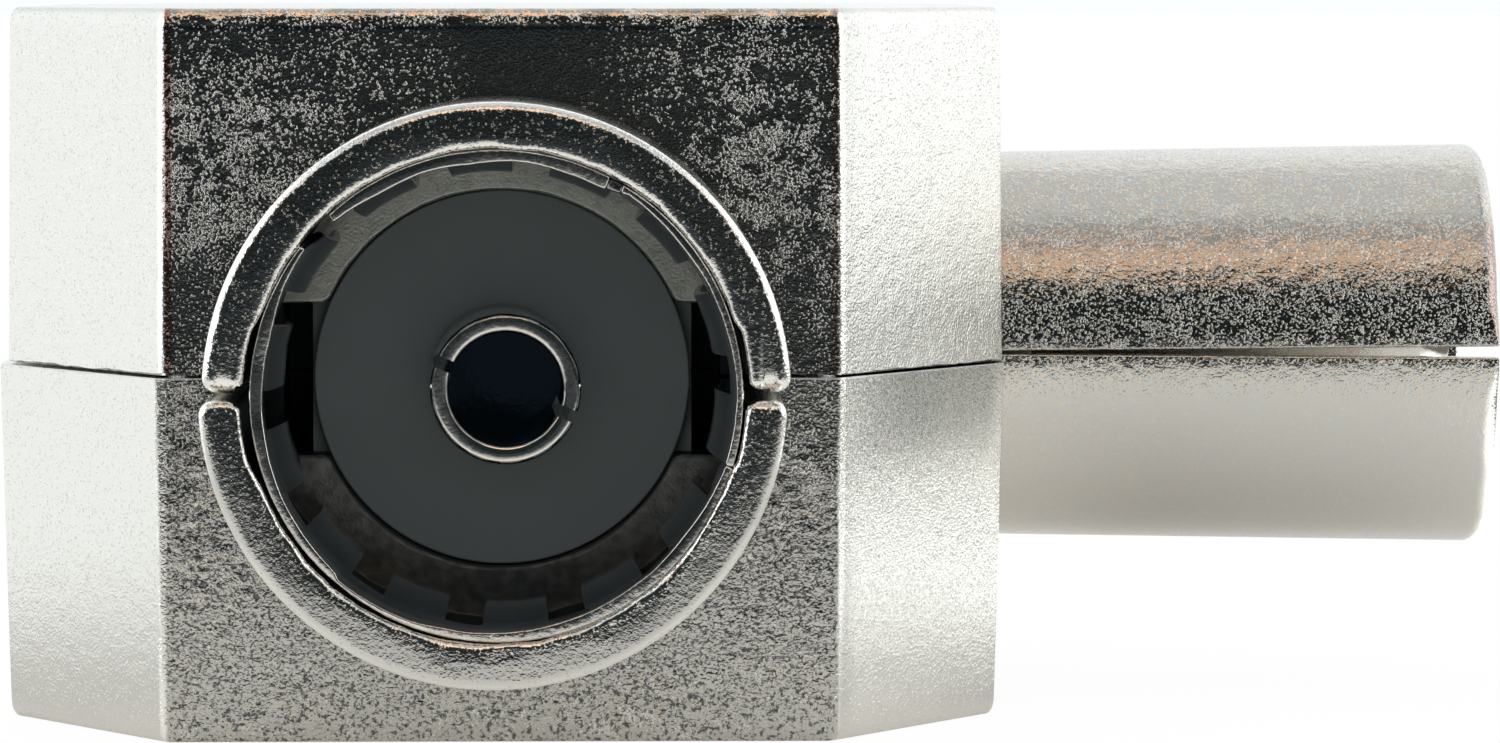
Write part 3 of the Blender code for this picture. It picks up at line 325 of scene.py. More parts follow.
@dataclass(frozen=True)
class CastNickel:
    """Nickel plate over rough die-cast zinc, with copper showing where the plate is thin, and with painted
    highlights, a painted warm glint and painted shade.

    A span is where a mask starts and where it is full, and a band is where it starts, is full,
    fades and ends. The depths of ring_face, ring_end and well_depth start at the rings' rim, and
    spans that end in grain are levels of a noise.
    """

    name: str
    axis: float
    rim: float
    plate: Colour = (0.71, 0.70, 0.665)
    # Darker cast skin between the specks, also used for the painted shade beside the barrel's root.
    ground: Colour = (0.40, 0.40, 0.375)
    # This lighter colour is a painted highlight, laid where specks, edges and corners mirror light.
    painted_highlight: Colour = (0.95, 0.93, 0.88)
    # Dark colour of the cast skin's pits, and of the painted shade inside the sockets and under the upper end
    # edges.
    shade: Colour = (0.050, 0.060, 0.066)
    # Copper colour: copper showing through thin plate, and a painted warm glint along the upper end edges.
    copper: Colour = (0.94, 0.74, 0.53)
    stain: Colour = (0.36, 0.16, 0.12)
    # The seat's olive tone, laid on only towards the top of its face, where it is also painted light.
    olive: Colour = (0.86, 0.88, 0.74)
    grain: float = 0.066
    fleck: float = 0.11
    mottle: float = 0.3
    wave: float = 1.3
    patch: float = 3.2
    relief: float = 0.042
    corner: float = 7.8
    flat_end: Span = (7.66, 7.60)
    corner_stain: Span = (7.56, 7.62)
    end_depth: Band = (14.50, 14.60, 15.20, 15.30)
    face_depth: Band = (14.60, 14.80, 15.15, 15.30)
    corner_depth: Band = (14.65, 14.85, 15.20, 15.30)
    seat_depth: Band = (15.78, 15.86, 16.00, 16.50)
    near_top: Span = (7.05, 7.65)
    top_edge: Span = (7.93, 8.05)
    # Band of the painted shade under the upper end edges.
    under_edge: Band = (7.83, 7.90, 7.93, 7.99)
    seam: Span = (-0.1, 0.1)
    # ring_bore, ring_outer, ring_caps and ring_top, with corner and corner_line, place the painted highlights
    # along the edges.
    ring_bore: Span = (5.65, 5.53)
    ring_outer: Span = (6.12, 6.24)
    ring_caps: Band = (-0.42, -0.30, 0.42, 0.56)
    ring_face: Span = (-0.06, -0.02)
    ring_end: Span = (-0.45, -0.35)
    # Where the painted shade and the rougher finish inside a socket start.
    well_radius: Span = (5.75, 5.65)
    well_depth: Span = (-0.3, -0.6)
    barrel_root: Span = (11.7, 11.9)
    barrel_mouth: Span = (23.64, 23.76)
    barrel_stain: Band = (0.0, 0.4, 2.8, 3.6)
    barrel_ground: Band = (-0.2, 0.2, 2.4, 3.6)
    # Where the end corners beside the barrel get a painted highlight.
    sheen_side: Span = (7.7, 8.2)
    sheen_low: Band = (-8.3, -7.3, -3.0, -1.4)
    sheen_high: Span = (0.5, 2.5)
    # Where the lower end corners beside the barrel's root get a painted shade.
    root_side: Span = (7.6, 9.5)
    root_rise: Band = (-2.9, -0.8, 0.0, 0.1)
    root_depth: Span = (8.6, 9.4)
    # Where the lower half is painted lighter, with pits instead of painted highlights, reaching less high on
    # the right beside the barrel.
    low_side: Span = (4.0, 7.0)
    low_rise: Span = (0.3, -0.9)
    # Where the seat's face turns lighter towards the top, as painted light.
    top_light_rise: Span = (-4.5, 3.5)
    calm_middle: Span = (7.4, 3.4)
    calm_top: Span = (3.2, 5.5)
    calm_ring: Band = (-0.3, 0.1, 2.4, 3.6)
    barrel_top: Span = (-1.3, 0.2)
    ring_top: Span = (-1.2, 0.2)
    corner_line: Span = (0.11, 0.04)
    spot_grain: Span = (0.65, 0.76)
    fleck_grain: Span = (0.50, 0.57)
    pit_grain: Span = (0.50, 0.36)
    mottle_grain: Span = (0.32, 0.68)
    patch_grain: Span = (0.36, 0.60)
    thin_grain: Span = (0.36, 0.54)

    def material(self) -> Material:
        """Return the material of the castings.

        Returns:
            The finished material.
        """
        made = CastSurface(self)
        face, ring, barrel, rise = made.face, made.ring, made.barrel, made.rise
        well, seat = made.inside()
        edge_copper_glint, stain = made.edge_copper_glint()
        lively = made.lively() * (1.0 - well) + 0.5 * edge_copper_glint
        grain = made.grit(self.grain, 1.0, 0.6)
        coarse = made.grit(self.grain * 5.0)
        clumps = made.grit(self.grain * 7.0, 3.0) - 0.5
        patchy = clumps * (0.9 + face * (0.45 * made.x.step(-4.0, 4.0) - 0.25) - 0.45 * barrel)
        spots = (grain + lively * (0.13 + patchy)).step(*self.spot_grain) * (1.0 - 0.55 * ring)
        flecks = made.grit(self.fleck).step(*self.fleck_grain)
        # The lower half of the end faces, reaching less high on the right: lighter skin with dark pits,
        # painted light, and no painted highlights on the specks.
        low = (rise + 2.4 * made.x.step(*self.low_side)).step(*self.low_rise)
        # Copper flecks, partly copper showing through thin plate and partly a painted warm glint, most along
        # the upper end edges.
        copper_and_glint = flecks * (0.3 * lively + 0.2 * barrel + 0.75 * edge_copper_glint)
        rough_skin = face + 0.75 * ring + 0.9 * barrel * rise.band(*self.barrel_ground)
        bare = rough_skin * (1.0 - spots) * (0.74 - 0.28 * low) * (1.0 - edge_copper_glint)
        pits = made.grit(self.grain * 1.5, 2.0, 0.65).step(*self.pit_grain) * low * face
        # Painted highlights along the ring edges and the end corners.
        edges = made.edges()
        # Painted highlights on the specks of the upper end faces and of the barrel, none over the lower half,
        # and on the end corners beside the barrel.
        painted_glint = spots * ((0.8 - 0.8 * low) * face + 0.4 * barrel) + 0.6 * made.painted_sheen()
        mottle = made.grit(self.mottle, 1.5).step(*self.mottle_grain)
        # Painted light: the seat's face is lighter towards the top.
        painted_top_light = rise.step(*self.top_light_rise)
        # Painted shade inside the sockets, lighter on the seat's face and towards its top.
        painted_well_shade = well * (1.0 - seat * (0.60 + 0.25 * painted_top_light + 0.35 * mottle))
        colour = made.layered(
            self.plate,
            # Copper flecks, with a painted warm glint along the upper end edges.
            (copper_and_glint.limited(), self.copper),
            (bare, self.ground),
            # Painted shade on the lower end corners beside the barrel's root.
            (made.root() * 0.9, self.ground),
            # Dark pits of the cast skin, and the painted shade under the upper end edges.
            ((pits * 0.85 + made.under() * 0.6).limited(), self.shade),
            # Painted highlights on specks, edges and corners.
            ((painted_glint + edges).limited(), self.painted_highlight),
            (stain * (1.0 - edges) * (0.88 - 0.2 * flecks), self.stain),
            # Olive tone of the seat's face, only towards its top, as painted light.
            (seat * well * 0.6 * painted_top_light, self.olive),
            # Painted shade inside the sockets.
            (painted_well_shade.limited(), self.shade))
        rough = 0.09 + 0.03 * made.sides + 0.04 * coarse + 0.35 * well
        height = (spots * (1.5 - 0.45 * face) * lively + grain * 0.25 + coarse * (0.2 + 0.7 * lively)
                  + made.grit(self.wave, 1.0) * 0.25)
        return made.finish(colour, rough, 1.0, height, self.relief)


class CastSurface(Surface):
    """The castings' material under construction, with masks from 0 to 1 for their faces and edges."""

    def __init__(self, plan: CastNickel) -> None:
        """Start the material, and find the end faces, the rings, the barrel and the other sides.

        Args:
            plan: the finish that is built.
        """
        super().__init__(plan.name)
        self.plan = plan
        self.rise, self.depth, self.radius = self.around(plan.axis)
        self.aside = self.x.absolute()
        self.past_rim = self.depth - plan.rim
        flat = self.aside.step(*plan.flat_end)
        self.end = flat * self.depth.band(*plan.end_depth)
        self.face = flat * self.depth.band(*plan.face_depth)
        self.ring = flat * self.past_rim.step(*plan.ring_face)
        self.barrel = self.x.step(*plan.barrel_root)
        self.sides = (1.0 - self.face) * (1.0 - self.ring) * (1.0 - self.barrel)

    def edge_copper_glint(self) -> tuple[Value, Value]:
        """Return where the upper end edges show copper, partly thin plate and partly a painted warm glint,
        and where the plate is stained.

        Returns:
            The mask of the edges, and that of the end corners and the mouth of the barrel.
        """
        plan = self.plan
        thin = self.grit(0.8).step(*plan.thin_grain)
        ragged = self.aside + 0.2 * self.grit(plan.mottle)
        side = 0.6 + 0.4 * self.x.step(5.0, -5.0)
        corner = ragged.step(*plan.corner_stain) * self.rise.step(*plan.seam) * side
        mouth = self.x.step(*plan.barrel_mouth) * self.rise.band(*plan.barrel_stain)
        return self.end * self.rise.step(*plan.top_edge) * thin, self.end * corner + 0.5 * mouth

    def lively(self) -> Value:
        """Return how rough the cast skin is.

        The end faces are rough in patches, and least in the top middle, beside the rings and on
        them. The barrel is rough on top, and the other sides are fine.

        Returns:
            The mask.
        """
        plan, rise = self.plan, self.rise
        middle = ((self.x - 0.6).absolute() + rise * 0.35).step(*plan.calm_middle) * rise.step(*plan.calm_top)
        calm = rise.band(*plan.calm_ring)
        patches = self.grit(plan.patch, 3.0).step(*plan.patch_grain)
        block = self.face * (0.35 + 0.65 * patches) * (1.0 - 0.9 * middle) * (1.0 - 0.55 * calm)
        block = block * (1.0 - 0.5 * rise.step(*plan.near_top))
        top = 0.85 * self.barrel * rise.step(*plan.barrel_top)
        return 0.15 * self.sides + top + 0.16 * self.ring + block

    def root(self) -> Value:
        """Return the painted shade on the lower end corners beside the root of the barrel, which stands for
        the barrel's shaded side that they mirror.

        Returns:
            The mask.
        """
        plan = self.plan
        side = self.x.step(*plan.root_side) * self.rise.band(*plan.root_rise)
        return side * self.depth.step(*plan.root_depth)

    def under(self) -> Value:
        """Return the painted shade under the upper end edges, a dark line that stands for the dark room they
        mirror.
        """
        return self.end * self.rise.band(*self.plan.under_edge)

    def painted_sheen(self) -> Value:
        """Return the painted highlight on the end corners beside the barrel, a lighter patch that stands for
        the light they mirror.

        Returns:
            The mask.
        """
        plan = self.plan
        levels = self.rise.band(*plan.sheen_low) + 0.8 * self.rise.step(*plan.sheen_high)
        return self.x.step(*plan.sheen_side) * levels * (1.0 - self.barrel)

    def edges(self) -> Value:
        """Return the painted highlights along the edges of the rings, strongest on their upper outer edges,
        and along the end corners.

        Returns:
            The mask.
        """
        plan = self.plan
        outer = self.radius.step(*plan.ring_outer) * (0.25 + 0.75 * self.rise.step(*plan.ring_top))
        rims = self.radius.step(*plan.ring_bore) + outer + self.rise.band(*plan.ring_caps)
        ragged = self.aside + 0.12 * self.grit(0.5)
        line = (ragged - plan.corner).absolute().step(*plan.corner_line) * self.depth.band(*plan.corner_depth)
        return rims.limited() * self.past_rim.step(*plan.ring_end) + line

    def inside(self) -> tuple[Value, Value]:
        """Return where a socket is rougher inside and gets a painted shade, and where its seat's face is.

        Returns:
            The mask of the rough bore with its painted shade, and that of the seat's face.
        """
        plan = self.plan
        well = self.radius.step(*plan.well_radius) * self.past_rim.step(*plan.well_depth)
        return well, self.depth.band(*plan.seat_depth)


@dataclass(frozen=True)
class PlatedMetal:
    """Smooth nickel plate over turned or rolled brass, rough where the strip was cut."""

    name: str
    plate: Colour
    roughness: float
    grain: float
    relief: float
    axis: float
    cut: float
    bore: float
    bore_end: float
    # Colour of the painted shade deep inside the bore.
    shade: Colour = (0.08, 0.12, 0.16)
    tint: Colour = (0.76, 0.55, 0.40)
    # This lighter colour is a painted highlight, laid on the cut edge at the mouth.
    painted_highlight: Colour = (0.97, 0.95, 0.91)
    patch: float = 2.4
    wear: float = 0.3

    def material(self) -> Material:
        """Return the material, with fine tool marks, a little brass showing, a painted shade deep in the bore
        and a painted highlight on the cut edge.

        Returns:
            The finished material.
        """
        made = Surface(self.name)
        _, depth, radius = made.around(self.axis)
        marks = made.grit(self.grain, 3.0)
        sheared = depth.step(self.cut - 0.05, self.cut - 0.02) * made.grit(self.patch, 1.0).step(0.36, 0.50)
        worn = made.grit(self.wear).step(0.60, 0.74)
        # Painted shade deep inside the bore, and a painted highlight on the cut edge at the mouth.
        inside = radius.step(self.bore + 0.06, self.bore) * depth.step(self.bore_end, self.bore_end - 0.5)
        lip = depth.band(self.cut - 0.2, self.cut - 0.12, self.cut - 0.03, self.cut - 0.01)
        colour = made.layered(self.plate, (worn * 0.4, self.tint), (inside, self.shade),
                              (lip * 0.8, self.painted_highlight))
        rough = self.roughness + 0.08 * marks + 0.2 * sheared * marks
        return made.finish(colour, rough, 1.0, marks * (0.3 + 0.6 * sheared), self.relief)


@dataclass(frozen=True)
class Moulding:
    """Charcoal moulded plastic with a fine matt skin."""

    name: str
    colour: Colour = (0.200, 0.236, 0.233)
    pale: Colour = (0.240, 0.270, 0.264)
    pore: float = 0.06
    cloud: float = 1.6
    relief: float = 0.003

    def material(self) -> Material:
        """Return the material of the insulators.

        Returns:
            The finished material.
        """
        made = Surface(self.name)
        pores = made.grit(self.pore)
        colour = made.blend(made.grit(self.cloud) * 0.6 + pores * 0.4, self.colour, self.pale)
        return made.finish(colour, 0.5 + 0.12 * pores, 0.0, pores, self.relief)


@dataclass(frozen=True)
class Plain:
    """A finish for the parts on the board: two colours in a mottle, with a fine relief."""

    name: str
    colour: Colour
    second: Colour
    size: float
    roughness: float
    metallic: float = 0.0
    relief: float = 0.004
    stretch: tuple[float, float, float] = (1.0, 1.0, 1.0)

    def material(self) -> Material:
        """Return the material, with its mottle stretched along the axes.

        Returns:
            The finished material.
        """
        made = Surface(self.name)
        stretched = made.value("ShaderNodeMapping", {}, {"Vector": made.place, "Scale": self.stretch})
        mottle = made.noise(stretched, self.size, 3.0)
        colour = made.blend(mottle.step(0.35, 0.65), self.colour, self.second)
        return made.finish(colour, self.roughness + 0.12 * mottle, self.metallic, mottle, self.relief)


# Outlines and meshes


def arc(centre: Point2, radius: float, start: float, end: float, steps: int) -> list[Point2]:
    """Return points along an arc, both ends included.

    Args:
        centre: the arc's centre.
        radius: its radius.
        start: the angle of the first point.
        end: the angle of the last point.
        steps: the number of steps between them.

    Returns:
        The points.
    """
    points = []
    for index in range(steps + 1):
        angle = start + (end - start) * index / steps
        points.append((centre[0] + radius * math.cos(angle), centre[1] + radius * math.sin(angle)))
    return points


def wobble(*place: float, seed: float = 0.0) -> float:
    """Return smooth unevenness from about -1 to 1 at a place, the same on every run."""
    point = Vector((*place, 0.0, 0.0)[:3]) + Vector((seed, 1.7 * seed, 0.3 * seed))
    return 2.0 * noise.noise(point)


def held(value: float) -> float:
    """Return a value held between 0 and 1."""
    return min(max(value, 0.0), 1.0)


def left_of(along: Vector) -> Vector:
    """Return the direction a quarter turn anticlockwise from another."""
    return Vector((-along.y, along.x))


def oblong(across: float, up: float) -> list[Point2]:
    """Return the corners of a rectangle round the origin, anticlockwise, from half its sizes."""
    return [(-across, -up), (across, -up), (across, up), (-across, up)]


def inset_outline(outline: Sequence[Point2], distance: float) -> list[Vector]:
    """Move each edge of a convex outline inward.

    Args:
        outline: the corners, anticlockwise.
        distance: how far each edge moves.

    Returns:
        The corners of the smaller outline.
    """
    count = len(outline)
    lines = []
    for index in range(count):
        start = Vector(outline[index])
        along = (Vector(outline[(index + 1) % count]) - start).normalized()
        lines.append((start + left_of(along) * distance, along))
    moved = []
    for index in range(count):
        before, before_along = lines[index - 1]
        here, here_along = lines[index]
        step = (here - before).cross(here_along) / before_along.cross(here_along)
        moved.append(before + before_along * step)
    return moved


def skin(bm: Solid, sections: Sequence[Sequence[Sequence[float]]]) -> None:
    """Add a closed solid through successive sections.

    Args:
        bm: the mesh that gets the solid.
        sections: loops of equally many points in millimetres.
    """
    rings = [[bm.verts.new(Vector(point) * MM) for point in section] for section in sections]
    bm.faces.new(rings[0])
    bm.faces.new(rings[-1])
    count = len(rings[0])
    for first, second in zip(rings, rings[1:]):
        for index in range(count):
            after = (index + 1) % count
            bm.faces.new((first[index], first[after], second[after], second[index]))


def prism(outline: Sequence[Point2], place: Place, span: Span) -> Solid:
    """Return a straight prism.

    Args:
        outline: its section.
        place: maps a point of the section and a depth to space.
        span: the two depths.

    Returns:
        The mesh.
    """
    bm = bmesh.new()
    skin(bm, [[place(point, depth) for point in outline] for depth in span])
    return bm


def turned(profile: Sequence[Point2], segments: int, axis: Axis) -> Solid:
    """Return a turned solid.

    Args:
        profile: points of radius and station in millimetres.
        segments: the number of facets round the axis.
        axis: the axis that it is turned round.

    Returns:
        The mesh.
    """
    bm = bmesh.new()
    along, side = (Vector(direction) for direction in axis.value)
    verts = [bm.verts.new((side * radius + along * station) * MM) for radius, station in profile]
    edges = [bm.edges.new(pair) for pair in zip(verts, verts[1:])]
    if profile[0][0] > 0.0:
        edges.append(bm.edges.new((verts[-1], verts[0])))
    bmesh.ops.spin(bm, geom=verts + edges, axis=along, angle=math.tau, steps=segments, use_merge=True)
    bmesh.ops.remove_doubles(bm, verts=bm.verts, dist=MERGE)
    return bm


def stepped(*steps: tuple[float, float, float]) -> list[Point2]:
    """Return the profile of a stepped bar from the radius, start and end of each step."""
    walls = [(radius, station) for radius, start, end in steps for station in (start, end)]
    return [(0.0, walls[0][1]), *walls, (0.0, walls[-1][1])]


def rounded_profile(corners: Sequence[tuple[float, float, float]], steps: int = 4) -> list[Point2]:
    """Round the corners of a profile.

    Args:
        corners: radius, station and fillet of each corner.
        steps: the number of steps in a fillet.

    Returns:
        The points of the rounded profile.
    """
    points: list[Point2] = []
    for index, (radius, station, fillet) in enumerate(corners):
        if fillet == 0.0 or index in (0, len(corners) - 1):
            points.append((radius, station))
            continue
        here = Vector((radius, station))
        back = (Vector(corners[index - 1][:2]) - here).normalized()
        ahead = (Vector(corners[index + 1][:2]) - here).normalized()
        half = back.angle(ahead) / 2
        centre = here + (back + ahead).normalized() * fillet / math.sin(half)
        first = here + back * fillet / math.tan(half) - centre
        last = here + ahead * fillet / math.tan(half) - centre
        start = math.atan2(first.y, first.x)
        sweep = math.remainder(math.atan2(last.y, last.x) - start, math.tau)
        points += arc(tuple(centre), fillet, start, start + sweep, steps)
    return points


def follow(table: Sequence[Point2], place: float) -> float:
    """Return the value of a table of places and values at a place, straight between its rows.

    Args:
        table: pairs of place and value, in rising order.
        place: where the value is wanted.

    Returns:
        The value there.
    """
    for (start, low), (end, high) in zip(table, table[1:]):
        if start <= place <= end:
            return low + (high - low) * (place - start) / (end - start)
    return 0.0


def slice_off(bm: Solid, point: Sequence[float], normal: Sequence[float]) -> None:
    """Cut away what lies beyond a plane, and close the solid again.

    Args:
        bm: the mesh to cut.
        point: a point of the plane in millimetres.
        normal: the plane's normal, towards what goes.
    """
    parts = list(bm.verts) + list(bm.edges) + list(bm.faces)
    cut = bmesh.ops.bisect_plane(bm, geom=parts, plane_co=Vector(point) * MM, plane_no=normal,
                                 clear_outer=True)
    edges = [item for item in cut["geom_cut"] if isinstance(item, bmesh.types.BMEdge)]
    if edges:
        bmesh.ops.contextual_create(bm, geom=edges)


def add_object(name: str, bm: Solid) -> Item:
    """Write a mesh to a new object at the origin.

    Args:
        name: the object's name.
        bm: the mesh, which is freed.

    Returns:
        The object, with its faces pointing outward.
    """
    mesh = bpy.data.meshes.new(name)
    bmesh.ops.recalc_face_normals(bm, faces=bm.faces)
    bm.to_mesh(mesh)
    bm.free()
    item = bpy.data.objects.new(name, mesh)
    bpy.context.scene.collection.objects.link(item)
    return item


def applied(item: Item) -> bpy.types.Mesh:
    """Return the mesh of an object with its modifiers applied, and clear them.

    Args:
        item: the object.

    Returns:
        The new mesh.
    """
    view = bpy.context.evaluated_depsgraph_get()
    mesh = bpy.data.meshes.new_from_object(item.evaluated_get(view))
    item.modifiers.clear()
    return mesh


def combine(target: Item, solids: Sequence[Solid], operation: str) -> None:
    """Join or cut the target with each solid in turn.

    Args:
        target: the object that changes.
        solids: closed meshes, which are freed.
        operation: "UNION" or "DIFFERENCE".
    """
    tools = [add_object("tool", solid) for solid in solids]
    for tool in tools:
        step = target.modifiers.new(operation.lower(), "BOOLEAN")
        step.operation = operation
        step.solver = "EXACT"
        step.object = tool
    target.data = applied(target)
    for tool in tools:
        bpy.data.objects.remove(tool, do_unlink=True)


def dress(item: Item, material: Material, node: str) -> None:
    """Finish a piece: material, shading and its place in the frame.

    Args:
        item: the piece.
        material: its material.
        node: the CAD node that it stands for.
    """
    item.data.materials.clear()
    item.data.materials.append(material)
    item.data.shade_smooth()
    item.data.set_sharp_from_angle(angle=SMOOTH_ANGLE)
    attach(item, BODY)
    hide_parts(node)
    LOG.info("%s: %d faces, stands for %s", item.name, len(item.data.polygons), node)


# Pieces


@dataclass(frozen=True)
class Stations:
    """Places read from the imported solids: the ports' axis, a socket's rim and the plug's tip."""

    axis: float
    rim: float
    tip: float

    @classmethod
    def from_frame(cls) -> "Stations":
        """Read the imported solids.

        Returns:
            Their places in millimetres.
        """
        low, high = (Vector(corner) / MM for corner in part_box("front_insulator"))
        shell = Vector(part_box("upper_shell")[1]) / MM
        return cls((low.z + high.z) / 2, shell.y, shell.x)

    def stand(self, item: Item, socket: Socket = Socket.FRONT, station: float = 0.0) -> None:
        """Move a piece that was built for the front socket to its own socket, and lift it to the axis.

        Args:
            item: the piece, built round the Y axis.
            socket: the socket that it goes in, the rear one by half a turn.
            station: how far it first moves along Y.
        """
        turn = Matrix.Rotation(math.pi if socket is Socket.REAR else 0.0, 4, "Z")
        lift = Matrix.Translation((0.0, 0.0, self.axis * MM))
        item.data.transform(lift @ turn @ Matrix.Translation((0.0, station * MM, 0.0)))


@dataclass
class HalfTube:
    """Half a tube above its split, with rounded ends, such as a socket ring or the barrel."""

    outer: float
    bore: float
    relief: float
    split: float
    corner: float
    segments: int
    outside_edge: float
    end_edge: float
    inside_edge: float
    unevenness: float = 0.0
    end_reach: float = 0.0
    relief_angle: float = math.radians(15.0)
    relief_blend: float = math.radians(4.0)
    bore_waves: float = 9.0
    rim_waves: float = 1.6
    inside_wave: float = 0.32
    wave_fade: float = 0.22
    corner_steps: int = 6
    rim_steps: int = 7

    def outline(self) -> list[Point2]:
        """Return the section of the half tube.

        Returns:
            Its points, anticlockwise: out along the outer arc, back along the bore.
        """
        level = self.split / 2 + self.corner
        outer_x = math.sqrt((self.outer - self.corner) ** 2 - level ** 2)
        bore_x = math.sqrt((self.relief + self.corner) ** 2 - level ** 2)
        outer_angle = math.atan2(level, outer_x)
        bore_angle = math.atan2(level, bore_x)
        steps = self.segments // 2
        ends = self.corner_steps
        points = arc(ORIGIN, self.outer, outer_angle, math.pi - outer_angle, steps)
        points += arc((-outer_x, level), self.corner, math.pi - outer_angle, 1.5 * math.pi, ends)[1:]
        points += arc((-bore_x, level), self.corner, 1.5 * math.pi, math.tau - bore_angle, ends)
        for index in range(1, steps):
            angle = math.pi - bore_angle - (math.pi - 2 * bore_angle) * index / steps
            radius = self._bore_radius(angle)
            points.append((radius * math.cos(angle), radius * math.sin(angle)))
        points += arc((bore_x, level), self.corner, math.pi + bore_angle, 1.5 * math.pi, ends)
        points += arc((outer_x, level), self.corner, 1.5 * math.pi, math.tau + outer_angle, ends)[:-1]
        return points

    def _bore_radius(self, angle: float) -> float:
        """Return the bore's radius at an angle: wider near the split, a little uneven above.

        Args:
            angle: the angle from the split.

        Returns:
            The radius.
        """
        rise = min(angle, math.pi - angle) - self.relief_angle
        blend = held(rise / self.relief_blend)
        uneven = self.unevenness * wobble(angle * self.bore_waves, seed=3.0) * blend
        return self.relief + (self.bore - self.relief) * blend + uneven

    def _width(self, point: Point2, seed: float) -> float:
        """Return the width of the rounded rim at a point of the section.

        Args:
            point: a point of the section.
            seed: the seed of the unevenness.

        Returns:
            The width.
        """
        span = self.outer - self.relief
        across = held((math.hypot(*point) - self.relief) / span)
        side = self.inside_edge + (self.outside_edge - self.inside_edge) * across
        near_end = held(1.0 - point[1] / span) * 4 * across * (1.0 - across)
        if self.end_reach > 0.0:
            near_end = held(1.0 - (point[1] - self.split) / self.end_reach)
        uneven = wobble(point[0] * self.rim_waves, point[1] * self.rim_waves, seed=seed)
        uneven = 1.0 + (self.inside_wave - self.wave_fade * across) * uneven
        return (side + (self.end_edge - side) * near_end) * uneven

    def solid(self, place: Place, rim: float, root: float, seed: float) -> Solid:
        """Return the half tube as a mesh.

        Args:
            place: maps a point of the section and a depth to space.
            rim: the depth of its rounded rim.
            root: the depth of its root.
            seed: the seed of the unevenness.

        Returns:
            The mesh.
        """
        outline = self.outline()
        count = len(outline)
        inward = []
        for index in range(count):
            along = Vector(outline[(index + 1) % count]) - Vector(outline[index - 1])
            inward.append(left_of(along.normalized()))
        widths = [self._width(point, seed) for point in outline]
        sections = [[place(point, root) for point in outline]]
        for sine, cosine in arc(ORIGIN, 1.0, QUARTER, 0.0, self.rim_steps):
            section = []
            for point, normal, width in zip(outline, inward, widths):
                moved = Vector(point) + normal * width * (1.0 - cosine)
                section.append(place(moved, rim - width * (1.0 - sine)))
            sections.append(section)
        bm = bmesh.new()
        skin(bm, sections)
        return bm


@dataclass(frozen=True)
class Cast:
    """What differs between the halves: draft in degrees, step, sideways shift and cap rounding."""

    draft: float
    step: float
    shift: float
    cap_edge: float


CASTS = {Half.UPPER: Cast(0.5, 0.0, 0.0, 0.5), Half.LOWER: Cast(1.6, 0.12, -0.08, 0.3)}


